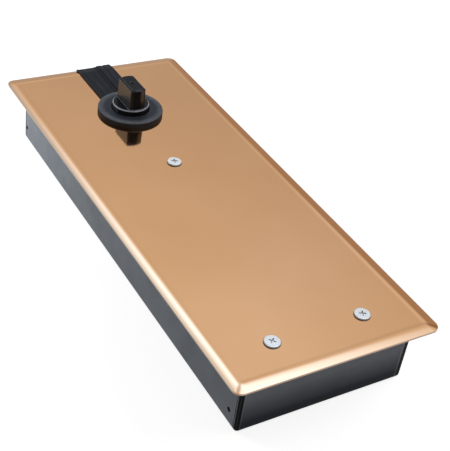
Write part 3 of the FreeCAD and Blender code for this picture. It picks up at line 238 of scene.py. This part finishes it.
def over(tree, value, start, stop):
    """0 where a value is at start or short of it, and 1 where it is at stop or past it."""
    return add(tree, "MapRange", {"Value": value, "From Min": start, "From Max": stop}).outputs["Result"]


def spread(tree, value, low, high):
    """The middle of a cloudy pattern stretched to run from low to high."""
    inputs = {"Value": value, "From Min": 0.3, "From Max": 0.7, "To Min": low, "To Max": high}
    return add(tree, "MapRange", inputs).outputs["Result"]


def blend(tree, share, first, last):
    """A colour between two, by share."""
    return add(tree, "Mix", {0: share, 6: first, 7: last}, data_type="RGBA").outputs[2]


def gaps(tree, value, ends, shares=(1, 1)):
    """Distances of a value from the low and the high end of its range, each times its share."""
    low, high = ends
    both = (maths(tree, "SUBTRACT", value, low), maths(tree, "SUBTRACT", high, value))
    return [product(tree, gap, share) for gap, share in zip(both, shares)]


def from_axis(tree, spot):
    """Distance of a spot from the spindle's axis."""
    squares = [product(tree, spot[axis], spot[axis]) for axis in "XY"]
    return maths(tree, "SQRT", maths(tree, "ADD", *squares))


def relief(tree, height, depth, under=None):
    """Bump of a depth in metres, on top of another where one is given."""
    inputs = {"Height": height, "Distance": depth, "Strength": 1.0}
    if under is not None:
        inputs["Normal"] = under
    return add(tree, "Bump", inputs).outputs["Normal"]


def edge_mask(tree, radius, breakup):
    """1 along sharp edges, broken up by a pattern, and 0 on open faces."""
    soft = add(tree, "Bevel", {"Radius": radius}, samples=6).outputs["Normal"]
    hard = add(tree, "NewGeometry").outputs["Normal"]
    meet = add(tree, "VectorMath", {0: soft, 1: hard}, operation="DOT_PRODUCT").outputs["Value"]
    turn = maths(tree, "SUBTRACT", 1.0, meet)
    return product(tree, over(tree, turn, 0.01, 0.12), breakup)


def hollow_shade(tree, reach, low, high):
    """1 deep in recesses and corners, where shade falls, and 0 on open faces."""
    openness = add(tree, "AmbientOcclusion", {"Distance": reach}, samples=8).outputs["AO"]
    return ramp(tree, openness, (low, 1), (high, 0))


def colour(red, green, blue):
    """A colour with full cover."""
    return (red, green, blue, 1)


def material(name):
    """An empty material with a shader that is ready for its sockets."""
    made = bpy.data.materials.new(name)
    made.use_nodes = True
    made.node_tree.nodes.clear()
    shader = add(made.node_tree, "BsdfPrincipled")
    output = add(made.node_tree, "OutputMaterial")
    made.node_tree.links.new(shader.outputs[0], output.inputs["Surface"])
    return made, made.node_tree, shader


def dress(tree, shader, **sockets):
    """Set or link the shader's sockets; a single underscore in a name stands for a space."""
    for name, value in sockets.items():
        feed(tree, shader.inputs[name.replace("_", " ")], value)


def rim_gaps(tree):
    """Distances to the cover's front, back and nearest side, shrunk where the rim is wider."""
    spot = place(tree)
    along, across = extent("cover_plate")[:2]
    back_gap, front_gap = gaps(tree, spot["X"], along, (RIM_WIDER, RIM_WIDER))
    left_gap, right_gap = gaps(tree, spot["Y"], across, (1, RIM_WIDER))
    return front_gap, back_gap, maths(tree, "MINIMUM", left_gap, right_gap)


def rim_height(gap):
    """Height of the rim's rounding over the solid's slope, at a distance from the edge."""
    height = 0
    for start, span, tilt in RIM_TILTS:
        along = max(0, (start - gap) / span)
        grown = along ** 3 - along ** 4 / 2 if along < 1 else along - 0.5
        height -= math.radians(tilt) * span * grown
    return height


def pressed_rim(tree, front_gap, back_gap, side_gap):
    """Rounding of the cover's rim, as relief by the distance from the nearest edge."""
    end_gap = maths(tree, "MINIMUM", front_gap, back_gap)
    inward = maths(tree, "DIVIDE", maths(tree, "SMOOTH_MIN", end_gap, side_gap, RIM_MITRE), RIM_BAND)
    shares = [step / RIM_STEPS for step in range(RIM_STEPS + 1)]
    heights = [(share, 0.5 + rim_height(share * RIM_BAND) / RIM_RELIEF) for share in shares]
    return relief(tree, ramp(tree, inward, *heights, lines="B_SPLINE"), RIM_RELIEF)


def mitre_shade(tree, front_gap, side_gap):
    """Share of painted shade along the mitre at each front corner, where two lengths of the rim meet."""
    apart = maths(tree, "ABSOLUTE", maths(tree, "SUBTRACT", front_gap, side_gap))
    beside = maths(tree, "DIVIDE", apart, RIM_BAND)
    inward = maths(tree, "DIVIDE", maths(tree, "MAXIMUM", front_gap, side_gap), RIM_BAND)
    narrow = ramp(tree, beside, (0.06, 0.85), (0.25, 0))
    return product(tree, narrow, ramp(tree, inward, (0.60, 1), (0.80, 0)))


def plated_cover():
    """Polished copper-toned plate: nearly a mirror, with faint lines of polish and handling haze, and
    painted shade on its cut edges, along the mitres at the front corners and on the outer part of the left
    rim.
    """
    made, tree, shader = material("plated_cover")
    clouds = noise(tree, 60 * MM, detail=2)
    polish = noise(tree, 0.7 * MM, detail=3, stretch=(60, 1, 1))
    haze = noise(tree, 30 * MM, detail=5, rough=0.6, offset=(3, 1, 0))
    tone = blend(tree, spread(tree, clouds, 0, 1), colour(0.815, 0.454, 0.226), colour(0.850, 0.485, 0.247))
    # Painted shade on the sheet's cut edges, which face sideways
    cut_edge_shade = ramp(tree, facing(tree)["Z"], (0.25, 0.9), (0.80, 0))
    tone = blend(tree, cut_edge_shade, tone, colour(0.330, 0.250, 0.200))
    front_gap, back_gap, side_gap = rim_gaps(tree)
    # Painted shade along the mitre at each front corner
    corner_shade = mitre_shade(tree, front_gap, side_gap)
    tone = blend(tree, corner_shade, tone, colour(0.400, 0.180, 0.075))
    # Painted shade on the outer part of the left rim
    outermost = ramp(tree, maths(tree, "DIVIDE", side_gap, RIM_BAND), (0.03, 0.40), (0.18, 0))
    leftward = over(tree, place(tree)["Y"], 0, -40 * MM)
    outer_rim_shade = product(tree, outermost, leftward)
    tone = blend(tree, outer_rim_shade, tone, colour(0.400, 0.320, 0.180))
    rim = pressed_rim(tree, front_gap, back_gap, side_gap)
    dress(tree, shader, Base_Color=tone, Metallic=1.0, Roughness=spread(tree, haze, 0.05, 0.10),
          Normal=relief(tree, polish, 0.0008 * MM, under=rim))
    return made


def metal(name, base, rough, grain=0.6 * MM, stretch=(1, 1, 1), depth=0.004 * MM, stain=0.75, edge=1.5):
    """Bare or plated metal: a machined or rolled grain, darker staining and brighter worn edges."""
    made, tree, shader = material(name)
    marks = noise(tree, grain, detail=4, stretch=stretch)
    stains = noise(tree, 6 * MM, detail=6, rough=0.65, offset=(5, 2, 1))
    dark = colour(*[share * stain for share in base])
    bright = colour(*[min(1.0, share * edge) for share in base])
    tone = blend(tree, spread(tree, stains, 0, 1), dark, colour(*base))
    bright_edges = edge_mask(tree, 0.3 * MM, spread(tree, noise(tree, 2 * MM), 0.2, 1))
    tone = blend(tree, bright_edges, tone, bright)
    dress(tree, shader, Base_Color=tone, Metallic=1.0, Normal=relief(tree, marks, depth),
          Roughness=spread(tree, stains, rough * 1.35, rough * 0.8))
    return made


def plated_heads():
    """Cover screws: bright plating, with painted shade in the recess and round the side of the head."""
    made, tree, shader = material("bright_screws")
    marks = noise(tree, 0.6 * MM, detail=4)
    stains = noise(tree, 6 * MM, detail=6, rough=0.65, offset=(5, 2, 1))
    tone = blend(tree, spread(tree, stains, 0, 1), colour(0.98, 0.890, 0.745), colour(1.0, 0.92, 0.78))
    # Painted shade round the side of the head and deep in the cross recess
    side = ramp(tree, facing(tree)["Z"], (0.35, 0.9), (0.65, 0))
    darkening = maths(tree, "MAXIMUM", side, hollow_shade(tree, 0.45 * MM, 0.45, 0.85))
    tone = blend(tree, darkening, tone, colour(0.02, 0.018, 0.016))
    dress(tree, shader, Base_Color=tone, Metallic=0.8, Roughness=spread(tree, stains, 0.60, 0.42),
          Normal=relief(tree, marks, 0.0002 * MM))
    return made


def blacked_steel():
    """Spindle: machined and blacked, worn bare on the flats that carry the door, with worn edges and painted
    highlights on the edges and collar, and a painted reflection of the plate on the end face.
    """
    made, tree, shader = material("blacked_steel")
    marks = noise(tree, 0.4 * MM, detail=3, stretch=(1, 1, 6))
    stains = noise(tree, 5 * MM, detail=6, rough=0.6)
    spot = place(tree)
    way = facing(tree)
    flat = ramp(tree, maths(tree, "ABSOLUTE", way["Y"]), (0.93, 0), (0.99, 1))
    black = blend(tree, spread(tree, stains, 0, 1), colour(0.006, 0.007, 0.009), colour(0.014, 0.015, 0.018))
    bare = blend(tree, spread(tree, marks, 0, 1), colour(0.080, 0.091, 0.101), colour(0.152, 0.176, 0.192))
    tone = blend(tree, flat, black, bare)
    # Painted reflection of the copper plate on the far, upper part of the end face
    end = ramp(tree, way["X"], (0.90, 0), (0.97, 1))
    far = ramp(tree, maths(tree, "DIVIDE", spot["Y"], BLOCK_HEIGHT), (0.05, 0), (0.32, 1))
    high = ramp(tree, maths(tree, "DIVIDE", spot["Z"], BLOCK_HEIGHT), (0.75, 0), (1.05, 1))
    end_plate_reflection = product(tree, far, high, end)
    tone = blend(tree, end_plate_reflection, tone, colour(0.250, 0.205, 0.170))
    # Worn edges and painted highlight along the block's edges
    bright_edges = edge_mask(tree, 0.40 * MM, spread(tree, noise(tree, 1.5 * MM), 0.55, 1))
    tone = blend(tree, bright_edges, tone, colour(0.50, 0.52, 0.56))
    # Painted highlight along the collar's edges
    collar_highlight = edge_mask(tree, 0.50 * MM, over(tree, spot["Z"], 8 * MM, 7 * MM))
    tone = blend(tree, collar_highlight, tone, colour(0.60, 0.62, 0.66))
    # Painted highlight round the top edge of the collar
    out = ramp(tree, maths(tree, "DIVIDE", from_axis(tree, spot), COLLAR_RADIUS), (0.935, 0), (0.95, 1))
    above = ramp(tree, maths(tree, "DIVIDE", spot["Z"], COLLAR_RADIUS), (0.525, 0), (0.54, 1))
    brim_highlight = product(tree, out, above)
    tone = blend(tree, brim_highlight, tone, colour(0.50, 0.52, 0.55))
    metallic = maths(tree, "MAXIMUM", product(tree, flat, 0.75), product(tree, bright_edges, 0.2))
    shade = maths(tree, "SUBTRACT", 1.0, product(tree, end, maths(tree, "SUBTRACT", 0.8, far)))
    gloss = product(tree, ramp(tree, way["Z"], (0.75, 0.30), (0.92, 0.12)), shade)
    dress(tree, shader, Base_Color=tone, Metallic=metallic, Roughness=spread(tree, stains, 0.30, 0.20),
          Specular_IOR_Level=gloss, Normal=relief(tree, marks, 0.001 * MM))
    return made


def black_rubber():
    """Moulded rubber: soft sheen, fine pores and a little pale dust, with a painted highlight on the outer
    part of the top and painted shade down the side.
    """
    made, tree, shader = material("black_rubber")
    radius = extent("dust_ring")[0][1]
    pores = noise(tree, 0.35 * MM, detail=3, rough=0.7)
    lumps = noise(tree, 3 * MM, detail=4)
    dust = noise(tree, 7 * MM, detail=7, rough=0.7, offset=(2, 7, 4))
    dusty = ramp(tree, dust, (0.45, 0), (0.75, 1))
    tone = blend(tree, dusty, colour(0.034, 0.037, 0.043), colour(0.062, 0.067, 0.077))
    spot = place(tree)
    # Painted highlight on the outer part of the top
    far = ramp(tree, maths(tree, "DIVIDE", from_axis(tree, spot), radius), (0.78, 0), (0.90, 1))
    high = ramp(tree, maths(tree, "DIVIDE", spot["Z"], radius), (0.125, 0), (0.145, 1))
    lightened = product(tree, far, high, spread(tree, lumps, 0.6, 1))
    tone = blend(tree, lightened, tone, colour(0.200, 0.212, 0.225))
    # Painted shade down the side, below the top
    tone = blend(tree, ramp(tree, high, (0, 0.6), (1, 0)), tone, colour(0.008, 0.008, 0.009))
    under = relief(tree, lumps, 0.01 * MM)
    dress(tree, shader, Base_Color=tone, Roughness=spread(tree, dust, 0.42, 0.58), Specular_IOR_Level=0.22,
          Normal=relief(tree, pores, 0.006 * MM, under=under))
    return made


def black_plastic():
    """Strip in the slot: drawn plastic with streaks along its length."""
    made, tree, shader = material("black_plastic")
    streaks = noise(tree, 0.9 * MM, detail=5, rough=0.65, stretch=(30, 1, 1))
    broad = noise(tree, 4 * MM, detail=3, stretch=(12, 1, 1), offset=(1, 4, 0))
    grain = noise(tree, 0.3 * MM, detail=2)
    streaky = ramp(tree, product(tree, streaks, broad), (0.22, 0), (0.45, 1))
    tone = blend(tree, streaky, colour(0.002, 0.003, 0.005), colour(0.042, 0.048, 0.062))
    lightened = edge_mask(tree, 0.4 * MM, spread(tree, streaks, 0.2, 1))
    tone = blend(tree, lightened, tone, colour(0.050, 0.055, 0.065))
    under = relief(tree, streaks, 0.012 * MM)
    dress(tree, shader, Base_Color=tone, Roughness=spread(tree, broad, 0.30, 0.48), Specular_IOR_Level=0.12,
          Normal=relief(tree, grain, 0.004 * MM, under=under))
    return made


def bend_gap(tree, spot):
    """Distance from the nearest upright bend of the box, as a share of the band of painted dark reflection
    along it.
    """
    along, across = extent("cement_box")[:2]
    back_gap, front_gap = gaps(tree, spot["X"], along)
    left_gap, right_gap = gaps(tree, spot["Y"], across, (1, BEND_RIGHT))
    end_gap = maths(tree, "MINIMUM", back_gap, front_gap)
    side_gap = maths(tree, "MINIMUM", left_gap, right_gap)
    return maths(tree, "DIVIDE", maths(tree, "ADD", end_gap, side_gap), BEND_BAND)


def paint_and_painted_light(tree, spot, way, darkening):
    """The box's paint with painted light: lighter towards the back, lighter on the front's upper part and in
    nearly black painted shade low on the front, with cloudy grime and scuffs.
    """
    back, front = extent("cement_box")[0]
    backward = over(tree, spot["X"], front, back)
    # Painted light along the box: much darker at the front, lighter towards the back
    lit_towards_back = ramp(tree, backward, (0, 0), (0.36, 0.20), (0.52, 0.24), (0.67, 0.42), (0.82, 0.80), (1, 1))
    tone = blend(tree, lit_towards_back, colour(0.062, 0.080, 0.110), colour(0.245, 0.292, 0.340))
    # Painted light on the upper part of the front face
    above = over(tree, spot["Z"], -24 * MM, -8 * MM)
    front_painted_light = product(tree, above, ramp(tree, way["X"], (0.6, 0), (0.9, 0.9)))
    tone = blend(tree, front_painted_light, tone, colour(0.192, 0.212, 0.245))
    # Cloudy grime
    tone = blend(tree, spread(tree, darkening, 0, 0.35), tone, colour(0.060, 0.070, 0.084))
    scuffs = noise(tree, 1.6 * MM, detail=6, rough=0.8, stretch=(9, 1, 1), offset=(0, 0, 6))
    tone = blend(tree, ramp(tree, scuffs, (0.68, 0), (0.80, 0.6)), tone, colour(0.23, 0.24, 0.26))
    # Painted shade low on the front face, nearly black
    low = over(tree, spot["Z"], -16 * MM, -31 * MM)
    low_front_shade = product(tree, low, ramp(tree, way["X"], (0.6, 0), (0.9, 0.72)))
    return blend(tree, low_front_shade, tone, colour(0.012, 0.014, 0.018)), low_front_shade


def painted_box():
    """Grey paint on folded sheet: orange peel, a few scuffs, painted light and shade, and on the upright
    bends a painted dark reflection with painted highlights.
    """
    made, tree, shader = material("painted_box")
    peel = noise(tree, 1.1 * MM, detail=2)
    # Cloudy grime, which also sets the roughness
    darkening = noise(tree, 18 * MM, detail=7, rough=0.62)
    spot = place(tree)
    way = facing(tree)
    tone, low_front_shade = paint_and_painted_light(tree, spot, way, darkening)
    bend = bend_gap(tree, spot)
    # Painted highlight beside each upright bend
    bend_highlight = ramp(tree, bend, (0.60, 0), (0.66, 0.4), (0.74, 0.4), (0.84, 0))
    tone = blend(tree, bend_highlight, tone, colour(0.30, 0.31, 0.33))
    # Painted dark reflection on each upright bend
    bend_dark_reflection = ramp(tree, bend, (0.54, 0.96), (0.64, 0))
    tone = blend(tree, bend_dark_reflection, tone, colour(0.003, 0.003, 0.004))
    # Painted highlight down the middle of each bend, where it faces half way between side and end
    slanted = maths(tree, "ABSOLUTE", product(tree, way["X"], way["Y"]))
    middle = ramp(tree, slanted, (0.486, 0), (0.499, 0.8))
    tone = blend(tree, middle, tone, colour(0.10, 0.105, 0.11))
    patchy = ramp(tree, noise(tree, 3 * MM, rough=0.7), (0.45, 0.1), (0.7, 0.8))
    bright_edges = product(tree, edge_mask(tree, 0.3 * MM, patchy), maths(tree, "SUBTRACT", 1.0, bend_dark_reflection))
    tone = blend(tree, bright_edges, tone, colour(0.20, 0.205, 0.21))
    # Less gloss where the bends and the front's lower part are painted dark
    gloss = ramp(tree, maths(tree, "MAXIMUM", bend_dark_reflection, low_front_shade), (0, 0.26), (0.7, 0.03))
    dress(tree, shader, Base_Color=tone, Roughness=spread(tree, darkening, 0.30, 0.42), Specular_IOR_Level=gloss,
          Normal=relief(tree, peel, 0.012 * MM))
    return made


def cast_iron():
    """Sand-cast surface under thin grey primer, with its high spots worn."""
    made, tree, shader = material("cast_iron")
    sand = noise(tree, 0.9 * MM, detail=8, rough=0.7)
    lumps = noise(tree, 7 * MM, detail=3)
    tone = blend(tree, spread(tree, sand, 0, 1), colour(0.065, 0.066, 0.070), colour(0.155, 0.155, 0.160))
    blooms = noise(tree, 12 * MM, detail=7, rough=0.7, offset=(3, 3, 3))
    tone = blend(tree, ramp(tree, blooms, (0.60, 0), (0.78, 0.5)), tone, colour(0.150, 0.085, 0.050))
    bright_edges = edge_mask(tree, 0.5 * MM, 0.7)
    tone = blend(tree, bright_edges, tone, colour(0.34, 0.34, 0.35))
    under = relief(tree, lumps, 0.15 * MM)
    dress(tree, shader, Base_Color=tone, Metallic=0.55, Roughness=spread(tree, sand, 0.72, 0.5),
          Normal=relief(tree, sand, 0.06 * MM, under=under))
    return made


def finishes():
    """One material for each of the record's slots."""
    finished = {name: metal(name, **finish) for name, finish in METALS.items()}
    finished["plated_cover"] = plated_cover()
    finished["bright_screws"] = plated_heads()
    finished["black_plastic"] = black_plastic()
    finished["black_rubber"] = black_rubber()
    finished["dark_steel"] = blacked_steel()
    finished["cast_iron"] = cast_iron()
    finished["painted_box"] = painted_box()
    return finished


def finish_nodes(finished):
    """Give each CAD node its slot's material and smooth curved faces."""
    slots = {part["node"]: part["material_slot"] for part in frame["record"]["subparts"]}
    for name, node in frame["nodes"].items():
        node.data.materials.clear()
        node.data.materials.append(finished[slots[name]])
        smooth(node.data)


def smooth(mesh):
    """Round faces shade smoothly, and sharp edges stay sharp."""
    if "custom_normal" in mesh.attributes:
        mesh.attributes.remove(mesh.attributes["custom_normal"])
    mesh.shade_smooth()
    mesh.set_sharp_from_angle(angle=SHARP_EDGE)


def break_edges(node, width):
    """A small round along sharp edges, as a modifier, so that they catch the light."""
    bevel = node.modifiers.new("broken_edges", "BEVEL")
    bevel.width = width
    bevel.segments = 3
    bevel.limit_method = "ANGLE"
    bevel.angle_limit = SHARP_EDGE
    bevel.harden_normals = True
    even = node.modifiers.new("even_shading", "WEIGHTED_NORMAL")
    even.keep_sharp = True


def stage():
    """Pale floor under the box."""
    bpy.ops.mesh.primitive_plane_add(size=FLOOR_SIZE, location=(*MIDDLE[:2], CAD_BOX[0].z))
    floor = bpy.context.object
    floor.name = "floor"
    made = bpy.data.materials.new("floor")
    made.use_nodes = True
    tree = made.node_tree
    tree.nodes.clear()
    path = add(tree, "LightPath")
    seen = maths(tree, "MAXIMUM", path.outputs["Is Camera Ray"], path.outputs["Is Glossy Ray"])
    seen = maths(tree, "MAXIMUM", seen, path.outputs["Is Transmission Ray"])
    cloth = add(tree, "BsdfDiffuse", {"Color": colour(FLOOR_TONE, FLOOR_TONE, FLOOR_TONE)})
    glow = add(tree, "Emission", {"Color": WHITE, "Strength": product(tree, seen, FLOOR_GLOW)})
    both = add(tree, "AddShader", {0: cloth.outputs[0], 1: glow.outputs[0]})
    output = add(tree, "OutputMaterial")
    tree.links.new(both.outputs[0], output.inputs["Surface"])
    floor.data.materials.append(made)


def weighed(tree, parts, shares, start):
    """Sum of a direction's parts, each times its share, from a starting number."""
    total = start
    for axis, share in zip("XYZ", shares):
        if share:
            total = maths(tree, "ADD", product(tree, parts[axis], share), total)
    return total


def backdrop(tree, tint, strength):
    """One of the world's lights."""
    return add(tree, "Background", {"Color": tint, "Strength": strength}).outputs[0]


def sky():
    """White to the camera, even light on the object, and a pale room under a soft light in reflections."""
    world = bpy.data.worlds.new("studio")
    bpy.context.scene.world = world
    world.use_nodes = True
    tree = world.node_tree
    tree.nodes.clear()
    parts = add(tree, "SeparateXYZ", {0: add(tree, "TexCoord").outputs["Generated"]}).outputs
    height = weighed(tree, parts, *ROOM_HEIGHT)
    climb = weighed(tree, parts, *LIGHT_HEIGHT)
    across = weighed(tree, parts, *ACROSS)
    side = ramp(tree, across, *SIDE_LEVELS)
    warm = product(tree, ramp(tree, parts["Y"], *WARM_FAR), ramp(tree, climb, *WARM_LOW))
    room_colour = blend(tree, warm, WHITE, colour(*WARM_COLOUR))
    room = backdrop(tree, room_colour, product(tree, ramp(tree, height, *ROOM), side))
    level = ramp(tree, climb, *[(spot, bright / LIGHT_PEAK) for spot, bright in LIGHT])
    toward_patch = weighed(tree, parts, PATCH_WAY, 0)
    patch = ramp(tree, toward_patch, *zip(PATCH_EDGE, (0, PATCH_BRIGHT / LIGHT_PEAK)))
    level = maths(tree, "ADD", level, patch)
    cool = ramp(tree, across, *COOL_SHARES)
    light_colour = blend(tree, cool, colour(*NEAR_LIGHT_COLOUR), colour(*LIGHT_COLOUR))
    light = backdrop(tree, light_colour, product(tree, level, side, LIGHT_PEAK))
    mirrored = add(tree, "AddShader", {0: room, 1: light}).outputs[0]
    even = backdrop(tree, WHITE, EVEN_LIGHT)
    white = backdrop(tree, WHITE, 1.0)
    path = add(tree, "LightPath")
    shiny = maths(tree, "MAXIMUM", path.outputs["Is Glossy Ray"], path.outputs["Is Transmission Ray"])
    first = add(tree, "MixShader", {0: shiny, 1: even, 2: mirrored}).outputs[0]
    last = add(tree, "MixShader", {0: path.outputs["Is Camera Ray"], 1: first, 2: white}).outputs[0]
    output = add(tree, "OutputWorld")
    tree.links.new(last, output.inputs["Surface"])


def lamps():
    """Soft round lamps, each turned to its target."""
    for name, (spot, target, size, power) in LAMPS.items():
        light = bpy.data.lights.new(name, "AREA")
        light.shape = "DISK"
        light.size = size
        light.energy = power
        holder = bpy.data.objects.new(name, light)
        bpy.context.scene.collection.objects.link(holder)
        holder.location = spot
        holder.rotation_euler = (Vector(target) - Vector(spot)).to_track_quat("-Z", "Y").to_euler()
        holder.visible_glossy = False


def camera():
    """The photograph's view."""
    lens = bpy.data.cameras.new("camera")
    lens.lens = CAMERA_LENS
    lens.sensor_width = CAMERA_SENSOR
    lens.clip_start, lens.clip_end = CAMERA_RANGE
    holder = bpy.data.objects.new("camera", lens)
    bpy.context.scene.collection.objects.link(holder)
    holder.location = CAMERA_SPOT
    holder.rotation_euler = [math.radians(angle) for angle in CAMERA_TURN]
    bpy.context.scene.camera = holder


def squashed_spring():
    """Copy of the closing spring with a mesh of its own, attached to the body; it stands for the rigid CAD
    one, which is hidden.
    """
    rigid = frame["nodes"]["closing_spring"]
    spring = bpy.data.objects.new("closing_spring_coil", rigid.data.copy())
    bpy.context.scene.collection.objects.link(spring)
    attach(spring, "body")
    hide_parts("closing_spring")
    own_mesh(spring)


def between(value, stops):
    """Value carried along straight lines between stops of (from, to), or left as it is past the last."""
    for (first, low), (last, high) in zip(stops, stops[1:]):
        if value <= last:
            return low + (high - low) * (value - first) / (last - first)
    return value


def turned_screws():
    """Cover screws as seen: the solids' heads turned and a little flatter, with a shorter cross."""
    rigid = frame["nodes"]["cover_screws"]
    screws = bpy.data.objects.new("cover_screws_turned", rigid.data.copy())
    bpy.context.scene.collection.objects.link(screws)
    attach(screws, "body")
    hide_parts("cover_screws")
    for vertex in screws.data.vertices:
        axis, turn = min(SCREW_TURNS, key=lambda entry: (vertex.co.xy - Vector(entry[0])).length)
        reach = vertex.co.xy - Vector(axis)
        if vertex.co.z > 0:
            reach *= between(reach.length / HEAD_RADIUS, HEAD_REACH) * HEAD_RADIUS / reach.length
            vertex.co.z = between(vertex.co.z / HEAD_HEIGHT, HEAD_LEVELS) * HEAD_HEIGHT
        reach.rotate(Matrix.Rotation(math.radians(turn), 2))
        vertex.co.xy = Vector(axis) + reach
    return screws


finish_nodes(finishes())
for piece, width in BROKEN_EDGES.items():
    break_edges(frame["nodes"][piece], width)
break_edges(turned_screws(), SCREW_ROUND)
squashed_spring()
stage()
sky()
lamps()
camera()
bpy.context.scene.view_settings.view_transform = "Standard"
